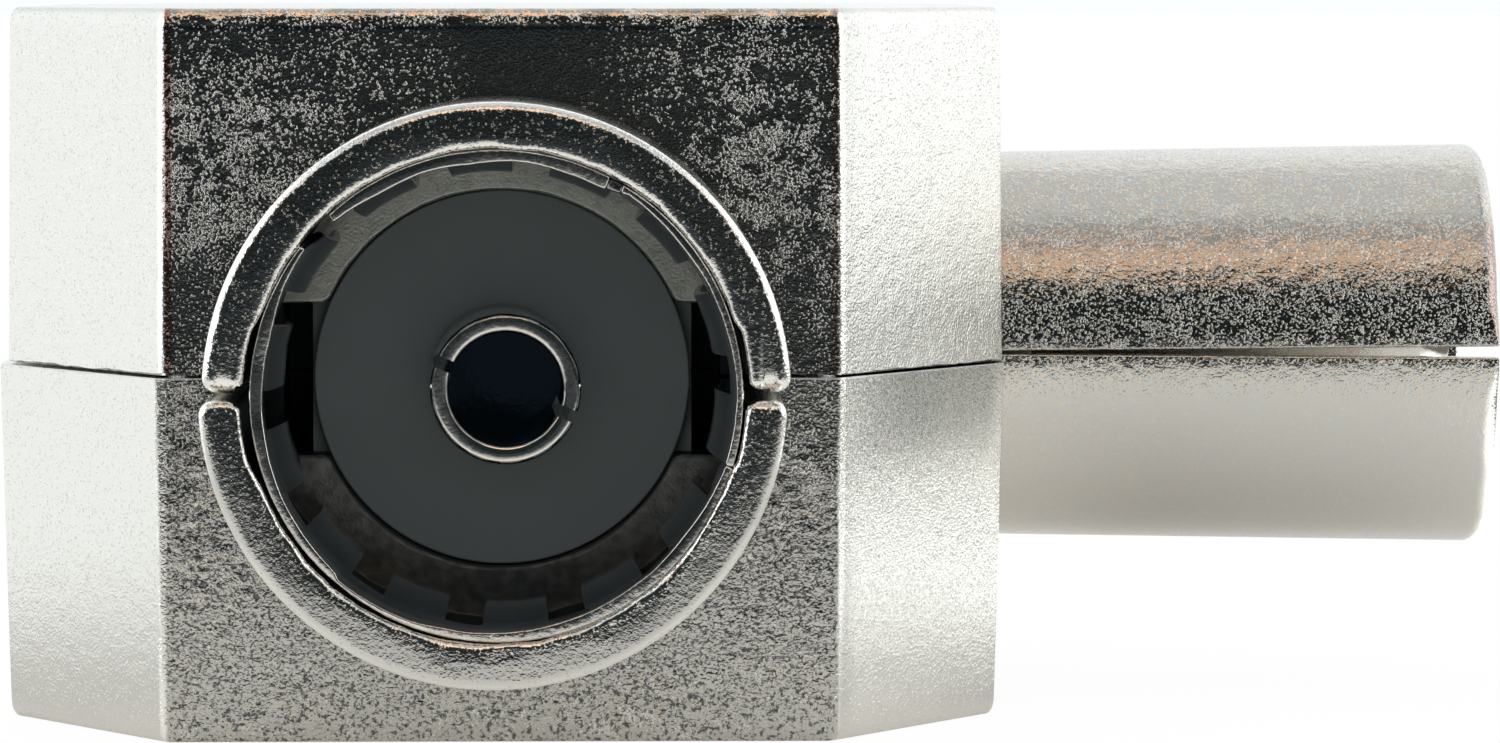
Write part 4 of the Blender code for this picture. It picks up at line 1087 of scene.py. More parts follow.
@dataclass
class CastShell:
    """One half of the body, with its halves of both socket rings and of the plug barrel."""

    half: Half
    places: Stations
    width: float = 23.4
    depth: float = 30.0
    flat: float = 15.4
    chamfer_depth: float = 6.3
    rim_radius: float = 0.2
    rim_drop: float = 0.4
    rim_steps: int = 8
    corner_radius: float = 0.16
    corner_steps: int = 4
    corner_waves: float = 1.4
    corner_wave: float = 0.4
    corner_offset: float = 5.1
    parting_gap: float = 0.06
    parting_radius: float = 0.035
    parting_rows: tuple[float, ...] = (1.0, 0.3, 0.0)
    parting_waves: float = 1.9
    parting_wave: float = 0.7
    side_wall: float = 1.6
    plug_wall: float = 2.75
    end_wall: float = 4.0
    roof_wall: float = 1.5
    core_draft: float = math.radians(1.0)
    ledge: float = 0.9
    board_under: float = 1.7
    ring_outer: float = 6.38
    ring_bore: float = 5.37
    ring_relief: float = 0.1
    ring_split: float = 0.15
    flange_depth: float = 7.1
    flange_thickness: float = 1.3
    flange_bore: float = 4.26
    flange_opening: float = 3.44
    flange_skim: float = 0.02
    flange_lap: float = 0.2
    groove_width: float = 1.5
    groove_radius: float = 4.95
    window_floor: float = 0.8
    barrel_outer: float = 4.72
    barrel_bore: float = 4.0
    barrel_flare: float = 0.1
    barrel_slit: float = 0.07
    barrel_slit_mouth: float = 0.27
    plug_groove_radius: float = 4.65
    plug_groove_wall: float = 0.55
    plug_groove_width: float = 1.3
    plug_back_bore: float = 3.5
    plug_lip: float = 0.04
    peg_radius: float = 0.8
    peg_length: float = 2.2
    peg_wall: float = 1.1
    peg_end_wall: float = 2.0
    peg_gap: float = 0.05
    peg_segments: int = 32
    overcut: float = 0.6
    pitch: float = 0.28
    segments: int = 128

    def __post_init__(self) -> None:
        """Work out what follows from the sizes and the half."""
        self.cast = CASTS[self.half]
        self.front = self.depth / 2
        self.side = self.width / 2
        self.flange_face = self.places.rim - self.flange_depth
        self.flange_back = self.flange_face - self.flange_thickness
        self.cavity_end = self.front - self.end_wall
        self.cavity_side = self.side - self.plug_wall
        self.cavity_roof = self.places.axis - self.roof_wall

    def build(self, material: Material) -> None:
        """Cast the shell above the parting plane, turn the lower one over, and dress it.

        Args:
            material: the finish of the castings.
        """
        name = self.half.name.lower()
        shell = add_object(f"{name}_casting", self._block())
        solids = [make(socket) for make in (self._ring, self._seat_disc) for socket in Socket]
        combine(shell, [*solids, self._barrel()], "UNION")
        cuts = [make(socket) for make in (self._seat_cut, self._window_cut) for socket in Socket]
        cuts.append(self._plug_cut())
        if self.half is Half.UPPER:
            cuts.append(self._chamber(0.0, -self.overcut, self.cavity_roof))
            combine(shell, cuts, "DIFFERENCE")
            combine(shell, self._pegs(self.peg_radius, -self.peg_length, self.peg_radius), "UNION")
        else:
            cuts.append(self._chamber(0.0, -self.overcut, self.board_under))
            cuts.append(self._chamber(self.ledge, 0.0, self.cavity_roof))
            hole = self.peg_radius + self.peg_gap
            cuts += self._pegs(hole, -self.overcut, self.peg_length + 2 * self.peg_gap)
            combine(shell, cuts, "DIFFERENCE")
            shell.data.transform(Matrix.Scale(-1.0, 4, (0.0, 0.0, 1.0)))
            shell.data.flip_normals()
        self.places.stand(shell)
        dress(shell, material, f"{name}_shell")

    def _corners(self) -> list[Point2]:
        """Return the octagon of the body on the parting plane.

        Returns:
            Its corners, anticlockwise.
        """
        flat = self.flat / 2
        end = self.front - self.chamfer_depth
        right = [(flat, -self.front), (self.side, -end), (self.side, end), (flat, self.front)]
        return right + [(-x, -y) for x, y in right]

    def _section(self, insets: float, level: float) -> list[Vector]:
        """Return the body's outline at a level, with uneven rounded corners.

        Args:
            insets: how far the outline lies inside the octagon.
            level: the height above the parting plane.

        Returns:
            Points along the outline, equally many at every level.
        """
        nominal = self._corners()
        corners = inset_outline(nominal, insets)
        count = len(corners)
        runs = []
        for index, corner in enumerate(corners):
            back = (corners[index - 1] - corner).normalized()
            ahead = (corners[(index + 1) % count] - corner).normalized()
            half = back.angle(ahead) / 2
            uneven = wobble(level * self.corner_waves, index * self.corner_offset, seed=self.half.value * 4.0)
            radius = self.corner_radius * (1.0 + self.corner_wave * uneven)
            centre = corner + (back + ahead).normalized() * radius / math.sin(half)
            first = corner + back * radius / math.tan(half) - centre
            start = math.atan2(first.y, first.x)
            end = start + math.pi - 2 * half
            bend = arc(tuple(centre), radius, start, end, self.corner_steps)
            runs.append([Vector(point) for point in bend])
        points: list[Vector] = []
        for index, run in enumerate(runs):
            points += run
            following = runs[(index + 1) % count][0]
            length = (Vector(nominal[(index + 1) % count]) - Vector(nominal[index])).length
            steps = int(length / self.pitch)
            points += [run[-1].lerp(following, step / steps) for step in range(1, steps)]
        return points

    def _block(self) -> Solid:
        """Return the drafted block above the parting plane, with uneven rounded edges.

        Returns:
            The mesh.
        """
        foot = self.parting_gap / 2
        slope = math.tan(math.radians(self.cast.draft))
        step = self.cast.step
        seed = 11.0 + self.half.value
        rings = []
        for edge in self.parting_rows:
            ring = []
            for point in self._section(-step, foot):
                uneven = wobble(point.x * self.parting_waves, point.y * self.parting_waves, seed=seed)
                depth = self.parting_radius * (1.0 + self.parting_wave * uneven)
                inward = point.normalized() * depth * edge
                ring.append((*(point - inward), foot + depth * (1.0 - edge)))
            rings.append(ring)
        body = self.places.axis - self.rim_drop - foot
        levels = int(body / self.pitch)
        for index in range(1, levels):
            rise = body * index / levels
            rings.append([(*point, foot + rise) for point in self._section(slope * rise - step, foot + rise)])
        for across, rise in arc(ORIGIN, 1.0, 0.0, QUARTER, self.rim_steps):
            inset = slope * body - step + self.rim_radius * (1.0 - across)
            level = self.places.axis - self.rim_drop * (1.0 - rise)
            rings.append([(*point, level) for point in self._section(inset, foot + body)])
        shift = Vector((self.cast.shift, 0.0, 0.0))
        bm = bmesh.new()
        skin(bm, [[Vector(point) + shift for point in ring] for ring in rings])
        return bm

    @staticmethod
    def _facing(socket: Socket, shift: float = 0.0) -> Place:
        """Return what maps a point of a section and a depth to space, the way a socket looks."""
        return lambda point, depth: (point[0] + shift, socket.value * depth, point[1])

    def _ring(self, socket: Socket) -> Solid:
        """Return half a socket ring.

        Args:
            socket: the socket that it belongs to.

        Returns:
            The mesh.
        """
        tube = HalfTube(outer=self.ring_outer, bore=self.ring_bore, relief=self.ring_bore + self.ring_relief,
                        split=self.ring_split, corner=0.33, segments=self.segments, outside_edge=0.24,
                        end_edge=self.cast.cap_edge, inside_edge=0.16, unevenness=0.025)
        return tube.solid(self._facing(socket, self.cast.shift), self.places.rim,
                          self.front - self.overcut, 5.0 * self.half.value + socket.value)

    def _seat_disc(self, socket: Socket) -> Solid:
        """Return the C-shaped half of the insulator seat, with rounded ends.

        Args:
            socket: the socket that it belongs to.

        Returns:
            The mesh.
        """
        radius = (self.ring_outer + self.ring_bore + self.ring_relief) / 2
        bore = self.flange_bore + self.flange_skim
        tube = HalfTube(outer=radius, bore=bore, relief=bore, split=self.flange_opening, corner=0.3,
                        segments=self.segments, outside_edge=0.05, end_edge=0.2, inside_edge=0.08)
        return tube.solid(self._facing(socket), self.flange_face, self.flange_back + self.flange_lap,
                          31.0 * self.half.value + socket.value)

    def _barrel(self) -> Solid:
        """Return half the plug barrel, which leans away from the other half to its tip.

        Returns:
            The mesh.
        """
        tube = HalfTube(outer=self.barrel_outer, bore=self.barrel_bore, relief=self.barrel_bore,
                        split=self.barrel_slit, corner=0.06, segments=self.segments, outside_edge=0.4,
                        end_edge=0.05, inside_edge=0.06, end_reach=1.0)
        root = self.side - self.plug_groove_wall + self.plug_lip
        lean = (self.barrel_slit_mouth - self.barrel_slit) / 2
        length = self.places.tip - root

        def place(point: Sequence[float], depth: float) -> Sequence[float]:
            """Widen and lift a point of the section towards the tip.

            Args:
                point: the point.
                depth: how far along the barrel it lies.

            Returns:
                Its place.
            """
            share = (depth - root) / length
            grow = 1.0 + self.barrel_flare / self.barrel_outer * share
            return (depth, point[0] * grow, point[1] * grow + lean * share)

        return tube.solid(place, self.places.tip, root, 21.0 + self.half.value)

    def _seat_cut(self, socket: Socket) -> Solid:
        """Return the turned pocket that holds a socket insulator.

        Args:
            socket: the socket that it belongs to.

        Returns:
            The mesh.
        """
        groove_back = self.flange_back - self.groove_width
        profile = stepped((self.flange_bore, self.flange_face + self.overcut, self.flange_back),
                          (self.groove_radius, self.flange_back, groove_back),
                          (self.flange_bore, groove_back, self.cavity_end - self.overcut))
        profile = [(radius, socket.value * station) for radius, station in profile]
        return turned(profile, self.segments, Axis.Y)

    def _window_cut(self, socket: Socket) -> Solid:
        """Return the blind slot that opens the seat at both sides."""
        return prism(oblong(self.groove_radius, self.flange_opening / 2), self._facing(socket),
                     (self.flange_face + self.overcut, self.cavity_end + self.window_floor))

    def _plug_cut(self) -> Solid:
        """Return the turned pocket that holds the plug insulator.

        Returns:
            The mesh.
        """
        front = self.side - self.plug_groove_wall
        back = front - self.plug_groove_width
        profile = stepped((self.barrel_bore - self.plug_lip, self.side + self.overcut, front),
                          (self.plug_groove_radius, front, back),
                          (self.plug_back_bore, back, self.cavity_side - self.overcut))
        return turned(profile, self.segments, Axis.X)

    def _chamber(self, ledge: float, bottom: float, top: float) -> Solid:
        """Return the drafted chamber.

        Args:
            ledge: how much thicker the walls are at the sides.
            bottom: its lower level.
            top: its upper level.

        Returns:
            The mesh.
        """
        corner = self.side_wall + ledge
        walls = [corner, self.plug_wall + ledge, corner, self.end_wall, corner, corner, corner, self.end_wall]
        outline = [Vector(point) for point in self._corners()]
        bm = prism(oblong(self.side, self.front), lambda point, level: (*point, level), (bottom, top))
        for index, wall in enumerate(walls):
            along = (outline[(index + 1) % len(outline)] - outline[index]).normalized()
            inward = left_of(along)
            point = outline[index] + inward * wall
            slice_off(bm, (point.x, point.y, bottom), (-inward.x, -inward.y, math.tan(self.core_draft)))
        return bm

    def _pegs(self, radius: float, bottom: float, top: float) -> list[Solid]:
        """Return four upright bars for the pegs or their holes, in the end walls beside the sockets.

        Args:
            radius: their radius.
            bottom: their lower level.
            top: their upper level.

        Returns:
            The meshes.
        """
        across = self.groove_radius + self.peg_wall + self.peg_radius + self.peg_gap
        station = self.front - self.peg_end_wall
        bars = []
        for side, end in ((-1, -1), (-1, 1), (1, -1), (1, 1)):
            bar = turned(stepped((radius, bottom, top)), self.peg_segments, Axis.Z)
            bmesh.ops.translate(bar, verts=bar.verts, vec=(side * across * MM, end * station * MM, 0.0))
            bars.append(bar)
        return bars


@dataclass
class SpringSleeve:
    """The rolled strip in a socket, with an open seam and a crown of inward bent fingers."""

    socket: Socket
    places: Stations
    throat: float = 4.76
    mouth: float = 5.07
    wall: float = 0.2
    recess: float = 0.15
    collar: float = 1.3
    length: float = 6.4
    throat_depth: float = 4.1
    flare: float = 0.12
    fingers: int = 14
    phase: float = -8.5
    seam: int = 5
    finger_columns: int = 9
    slot_columns: int = 5
    lie: tuple[Point2, ...] = (
        (0.0, 0.12), (40.0, 0.08), (57.0, 0.14), (60.0, 0.05), (63.0, -0.03), (76.0, 0.0), (86.0, 0.03),
        (97.0, -0.04), (108.0, 0.02), (120.0, -0.02), (131.0, 0.06), (138.0, 0.16), (143.0, 0.16),
        (165.0, -0.03), (185.0, 0.0), (227.0, 0.09), (229.5, 0.19), (250.0, 0.12), (256.0, 0.08),
        (290.0, 0.0), (323.0, -0.03), (343.0, 0.09), (360.0, 0.12))
    lean: tuple[Point2, ...] = (
        (0.0, 0.0), (104.0, 0.0), (127.0, 4.8), (139.0, 4.8), (164.0, 0.0), (360.0, 0.0))
    lip_wall: float = 0.3
    lip_reach: float = 5.35
    edge: float = 0.11
    edge_steps: int = 3
    edge_angle: float = math.radians(50.0)
    nick: Span = (58.4, 61.6)
    nick_depth: float = 0.6
    collar_rows: int = 5
    finger_rows: int = 18
    weld: float = 0.002
    ripple: float = 0.05
    mouth_ripple: float = 0.06
    ripples_across: float = 1.9
    ripples_along: float = 2.0
    ripple_fade: float = 8.0
    seed: float = 2.0

    def build(self, material: Material) -> None:
        """Grow the strip with Geometry Nodes, give it its wall, and dress it.

        Args:
            material: the finish of the strip.
        """
        name = self.socket.name.lower()
        item = add_object(f"{name}_sleeve", bmesh.new())
        sizes = {"Throat": self.throat, "Mouth": self.mouth, "Collar": self.collar, "Length": self.length,
                 "Throat Depth": self.throat_depth, "Flare": self.flare}
        grow = item.modifiers.new("fingers", "NODES")
        grow.node_group, inputs = self._tree(material, list(sizes))
        for label, size in sizes.items():
            grow[inputs[label]] = size * MM
        grow[inputs["Fingers"]] = self.fingers
        item.data = applied(item)
        self._settle(item.data)
        self._wall(item)
        self.places.stand(item, self.socket, self.recess - self.places.rim)
        dress(item, material, f"{name}_spring_sleeve")

    @staticmethod
    def _bearing(place: Vector) -> float:
        """Return the angle of a place round the Y axis in degrees, from 0 at +X to 360."""
        return math.degrees(math.atan2(place.z, place.x)) % 360.0

    def _settle(self, mesh: bpy.types.Mesh) -> None:
        """Press the mouth of the strip against the ring where the real one bears on it, and nick it.

        Args:
            mesh: the strip before it has its wall.
        """
        for vert in mesh.vertices:
            degrees = self._bearing(vert.co)
            share = max(1.0 - vert.co.y / (self.collar * MM), 0.0)
            degrees += follow(self.lean, degrees) * share
            radius = math.hypot(vert.co.x, vert.co.z) + follow(self.lie, degrees % 360.0) * MM * share
            vert.co.x = radius * math.cos(math.radians(degrees))
            vert.co.z = radius * math.sin(math.radians(degrees))
        bm = bmesh.new()
        bm.from_mesh(mesh)
        low, high = self.nick
        nicked = []
        for face in bm.faces:
            middle = face.calc_center_median()
            if middle.y < self.nick_depth * MM and low < self._bearing(middle) < high:
                nicked.append(face)
        bmesh.ops.delete(bm, geom=nicked, context="FACES")
        bm.to_mesh(mesh)
        bm.free()

    def _wall(self, item: Item) -> None:
        """Give the strip its thickness, swelled at the mouth where it was cut, and soft edges.

        Args:
            item: the strip.
        """
        lip = item.vertex_groups.new(name="lip")
        thin = self.wall / self.lip_wall
        for vert in item.data.vertices:
            near = held(1.0 - vert.co.y / (self.collar * MM))
            lip.add([vert.index], thin + (1.0 - thin) * near, "REPLACE")
        wall = item.modifiers.new("wall", "SOLIDIFY")
        wall.thickness = self.lip_wall * MM
        wall.vertex_group = lip.name
        wall.offset = -1.0
        item.data = applied(item)
        item.vertex_groups.clear()
        for vert in item.data.vertices:
            radius = math.hypot(vert.co.x, vert.co.z)
            shrink = min(self.lip_reach * MM / radius, 1.0)
            vert.co.x *= shrink
            vert.co.z *= shrink
        edge = item.modifiers.new("edge", "BEVEL")
        edge.width = self.edge * MM
        edge.segments = self.edge_steps
        edge.limit_method = "ANGLE"
        edge.angle_limit = self.edge_angle
        item.data = applied(item)

    def _tree(self, material: Material, labels: Sequence[str]) -> tuple[bpy.types.NodeTree, dict[str, str]]:
        """Return the Geometry Nodes tree and the identifiers of its inputs.

        One sector of strip, a finger with the slot beside it, is made flat, copied round the
        axis and bent to the sleeve's profile.

        Args:
            material: the finish that the strip gets.
            labels: the names of its sizes.

        Returns:
            The tree, and the identifier of each named input.
        """
        group = bpy.data.node_groups.new("spring_sleeve", "GeometryNodeTree")
        tree = NodeTree(group)
        add = group.interface.new_socket
        sockets = {label: add(label, in_out="INPUT", socket_type="NodeSocketFloat") for label in labels}
        sockets["Fingers"] = add("Fingers", in_out="INPUT", socket_type="NodeSocketInt")
        add("Geometry", in_out="OUTPUT", socket_type="NodeSocketGeometry")
        given = tree.node("NodeGroupInput", {}, {})
        size = {label: Value(tree, given.outputs[label]) for label in sockets}
        columns = self.finger_columns + self.slot_columns
        rows = self.collar_rows + self.finger_rows
        cells = {"Size X": 1.0, "Size Y": 1.0, "Vertices X": columns + 1, "Vertices Y": rows + 1}
        grid = tree.value("GeometryNodeMeshGrid", {}, cells, "Mesh")
        across, along = self._unit_place(tree)
        collar_share = self.collar_rows / rows
        in_slot = across.maths("GREATER_THAN", self.finger_columns / columns)
        past_collar = along.maths("GREATER_THAN", collar_share)
        sector = tree.value("GeometryNodeDeleteGeometry", {"domain": "FACE"},
                            {"Geometry": grid, "Selection": in_slot * past_collar})
        line = tree.value("GeometryNodeMeshLine", {}, {"Count": size["Fingers"], "Offset": (1.0, 0.0, 0.0)})
        copies = tree.value("GeometryNodeInstanceOnPoints", {}, {"Points": line, "Instance": sector})
        strip = tree.value("GeometryNodeRealizeInstances", {}, {"Geometry": copies})
        across, along = self._unit_place(tree)
        seam_low = self.seam + self.finger_columns / columns
        in_seam = across.maths("GREATER_THAN", seam_low) * across.maths("LESS_THAN", self.seam + 1.0)
        strip = tree.value("GeometryNodeDeleteGeometry", {"domain": "FACE"},
                           {"Geometry": strip, "Selection": in_seam})
        position = self._bent(tree, size, across, along, collar_share)
        strip = tree.value("GeometryNodeSetPosition", {}, {"Geometry": strip, "Position": position})
        strip = tree.value("GeometryNodeMergeByDistance", {}, {"Geometry": strip, "Distance": self.weld * MM})
        strip = tree.value("GeometryNodeRealizeInstances", {}, {"Geometry": strip})
        strip = tree.value("GeometryNodeSetMaterial", {}, {"Geometry": strip, "Material": material})
        tree.node("NodeGroupOutput", {}, {"Geometry": strip})
        return group, {label: socket.identifier for label, socket in sockets.items()}

    @staticmethod
    def _unit_place(tree: NodeTree) -> tuple[Value, Value]:
        """Return the place on the flat strip: in sectors across, and from 0 to 1 along."""
        across, along, _ = tree.parts(tree.value("GeometryNodeInputPosition", {}, {}))
        return across + 0.5, along + 0.5

    def _bent(self, tree: NodeTree, size: Mapping[str, Value], across: Value, along: Value,
              collar_share: float) -> Value:
        """Return where a point of the flat strip lies on the bent sleeve.

        Args:
            tree: the tree under construction.
            size: the named inputs.
            across: the place in sectors.
            along: the place from the mouth to the finger tips.
            collar_share: the share of that place that the collar takes.

        Returns:
            The position.
        """
        columns = self.finger_columns + self.slot_columns
        turn = (across - self.finger_columns / columns / 2) * math.tau / size["Fingers"]
        angle = turn + math.radians(self.phase)
        collar_part = (along / collar_share).limited() * size["Collar"]
        past_collar = ((along - collar_share) / (1.0 - collar_share)).limited()
        finger_part = past_collar * (size["Length"] - size["Collar"])
        depth = collar_part + finger_part
        bend = ((depth - size["Collar"]) / (size["Throat Depth"] - size["Collar"])).limited()
        tail = ((depth - size["Throat Depth"]) / (size["Length"] - size["Throat Depth"])).limited()
        radius = size["Mouth"] + (size["Throat"] - size["Mouth"]) * (bend * QUARTER).maths("SINE")
        radius = radius + size["Flare"] * tail * tail
        waves = {0: across * self.ripples_across + self.seed, 1: along * self.ripples_along}
        flat = tree.value("ShaderNodeCombineXYZ", {}, waves)
        ripple = tree.value("ShaderNodeTexNoise", {"noise_dimensions": "2D"}, {"Vector": flat, "Scale": 1.0})
        radius = radius + (ripple - 0.5) * (self.ripple * MM)
        edge = (self.mouth_ripple * MM) * (ripple - 0.5) * (1.0 - along * self.ripple_fade).limited()
        round_axis = {0: radius * angle.maths("COSINE"), 1: depth + edge, 2: radius * angle.maths("SINE")}
        return tree.value("ShaderNodeCombineXYZ", {}, round_axis)


@dataclass
class SocketInsulator:
    """The moulded disc of a socket, with a rim that has two flats."""

    socket: Socket
    places: Stations
    radius: float = 4.25
    rim: float = 4.85
    bore: float = 1.55
    set_back: float = 7.9
    seat_depth: float = 8.45
    groove_width: float = 1.4
    length: float = 2.9
    edge: float = 0.06
    fine_edge: float = 0.05
    flat_reach: float = 0.05
    segments: int = 144

    def build(self, material: Material) -> None:
        """Turn the disc, cut its flats and dress it.

        Args:
            material: the finish of the plastic.
        """
        face = self.set_back - self.places.rim
        rim_front = self.seat_depth - self.places.rim
        rim_back = rim_front + self.groove_width
        back = face + self.length
        fine = self.fine_edge
        corners = [(self.bore, face, 0.0), (self.radius, face, self.edge), (self.radius, rim_front, 0.0),
                   (self.rim, rim_front, fine), (self.rim, rim_back, fine), (self.radius, rim_back, 0.0),
                   (self.radius, back, fine), (self.bore, back, 0.0)]
        bm = turned(rounded_profile(corners), self.segments, Axis.Y)
        for side in (-1.0, 1.0):
            slice_off(bm, (side * (self.radius + self.flat_reach), 0.0, 0.0), (side, 0.0, 0.0))
        name = self.socket.name.lower()
        item = add_object(f"{name}_disc", bm)
        self.places.stand(item, self.socket)
        dress(item, material, f"{name}_insulator")


@dataclass
class SocketContact:
    """The turned centre contact: slotted tube, shank through the disc, solder tail."""

    socket: Socket
    places: Stations
    bore: float = 1.25
    wall: float = 0.42
    sink: float = 0.13
    round: float = 0.13
    recess: float = 3.0
    floor: float = 0.35
    root_edge: float = 0.03
    shank: float = 1.5
    disc_face: float = SocketInsulator.set_back
    disc_length: float = SocketInsulator.length
    tail: float = 0.55
    tail_edge: float = 0.14
    tail_end: float = 14.5
    slot_width: float = 0.27
    slot_depth: float = 3.6
    slot_angle: float = -22.0
    lean: float = 1.8
    gap: float = 0.05
    segments: int = 96

    def build(self, material: Material) -> None:
        """Turn the contact, slot it, lean it a little and dress it.

        Args:
            material: the finish of the contact.
        """
        tube = self.bore + self.wall
        tip = self.recess - self.places.rim
        face = self.disc_face - self.places.rim
        root = face - self.gap
        back = face + self.disc_length + self.gap
        floor = back - self.floor
        end = self.tail_end - self.places.rim
        corners = [(0.0, floor, 0.0), (self.bore, floor, 0.0), (self.bore, tip, self.sink),
                   (tube, tip, self.round), (tube, root, self.root_edge),
                   (self.shank, root, 0.0), (self.shank, back, 0.0), (self.tail, back, 0.0),
                   (self.tail, end, self.tail_edge), (0.0, end, 0.0)]
        name = self.socket.name.lower()
        item = add_object(f"{name}_contact_tube", turned(rounded_profile(corners), self.segments, Axis.Y))
        slot = prism(oblong(2 * tube, self.slot_width / 2), lambda point, depth: (point[0], depth, point[1]),
                     (tip - self.gap, tip + self.slot_depth))
        turn = Matrix.Rotation(math.radians(-self.slot_angle), 3, "Y")
        bmesh.ops.rotate(slot, verts=slot.verts, cent=(0.0, 0.0, 0.0), matrix=turn)
        combine(item, [slot], "DIFFERENCE")
        for vert in item.data.vertices:
            vert.co.x += max(face * MM - vert.co.y, 0.0) * math.tan(math.radians(self.lean))
        self.places.stand(item, self.socket)
        dress(item, material, f"{name}_socket_contact")


@dataclass
class PlugCore:
    """The insulator and the pin inside the barrel."""

    places: Stations
    side: float = CastShell.width / 2
    barrel_bore: float = CastShell.barrel_bore - CastShell.plug_lip
    groove: float = CastShell.plug_groove_radius
    groove_wall: float = CastShell.plug_groove_wall
    groove_width: float = CastShell.plug_groove_width
    back_bore: float = CastShell.plug_back_bore
    plug_wall: float = CastShell.plug_wall
    reach: float = 0.95
    pin: float = 1.18
    shank: float = 0.85
    tail: float = 0.55
    tail_reach: float = 2.2
    recess: float = 0.68
    tip_length: float = 1.0
    tip_steps: int = 14
    tail_edge: float = 0.14
    face_edge: float = 0.12
    fine_edge: float = 0.05
    gap: float = 0.05
    segments: int = 96

    def build(self, plastic: Material, metal: Material) -> None:
        """Build the insulator and the pin.

        Args:
            plastic: the finish of the insulator.
            metal: the finish of the pin.
        """
        cavity = self.side - self.plug_wall
        face = self.side + self.reach
        front_rim = self.side - self.groove_wall - self.gap
        back_rim = self.side - self.groove_wall - self.groove_width + self.gap
        boss = self.barrel_bore - self.gap
        rim = self.groove - self.gap
        back_boss = self.back_bore - self.gap
        bore = self.shank + self.gap
        fine = self.fine_edge
        back = cavity + self.gap
        corners = [(bore, back, 0.0), (back_boss, back, fine), (back_boss, back_rim, 0.0),
                   (rim, back_rim, fine), (rim, front_rim, fine), (boss, front_rim, 0.0),
                   (boss, face, self.face_edge), (bore, face, 0.0)]
        disc = add_object("plug_disc", turned(rounded_profile(corners), self.segments, Axis.X))
        self.places.stand(disc)
        dress(disc, plastic, "plug_insulator")
        tip = self.places.tip - self.recess
        shoulder = face + self.gap
        end = cavity - self.tail_reach
        profile = [(0.0, end), (self.tail - self.tail_edge, end), (self.tail, end + self.tail_edge),
                   (self.tail, cavity), (self.shank, cavity), (self.shank, shoulder),
                   (self.pin - fine, shoulder), (self.pin, shoulder + fine)]
        for across, rise in arc(ORIGIN, 1.0, 0.0, QUARTER, self.tip_steps)[:-1]:
            profile.append((self.pin * across, tip - self.tip_length * (1.0 - rise)))
        profile.append((0.0, tip))
        pin = add_object("centre_pin", turned(profile, self.segments, Axis.X))
        self.places.stand(pin)
        dress(pin, metal, "plug_pin")


@dataclass
class Board:
    """The circuit board and its parts, which keep their solids and get materials."""

    finishes: dict[str, Plain] = field(default_factory=lambda: {
        "board": Plain("board_laminate", (0.30, 0.235, 0.11), (0.25, 0.19, 0.085), 0.5, 0.5,
                       stretch=(1.0, 4.0, 1.0)),
        "ferrite": Plain("sintered_ferrite", (0.085, 0.085, 0.095), (0.05, 0.05, 0.056), 0.16, 0.42,
                         relief=0.012),
        "copper_wire": Plain("enamelled_copper", (0.60, 0.24, 0.10), (0.48, 0.17, 0.07), 0.8, 0.2, 0.9),
        "component_coat": Plain("component_resin", (0.47, 0.31, 0.16), (0.40, 0.25, 0.12), 0.7, 0.32),
        "tinned_wire": Plain("tinned_wire", (0.70, 0.70, 0.69), (0.58, 0.58, 0.57), 0.3, 0.24, 1.0),
    })

    def build(self) -> None:
        """Give each solid of the board its material, by the record's material slot."""
        made = {slot: finish.material() for slot, finish in self.finishes.items()}
        for part in frame["record"]["subparts"]:
            material = made.get(part["material_slot"])
            if material is None:
                continue
            node = frame["nodes"][part["node"]]
            for place in node.material_slots:
                place.material = material
            LOG.info("%s: solid kept, dressed as %s", part["node"], material.name)


# Studio


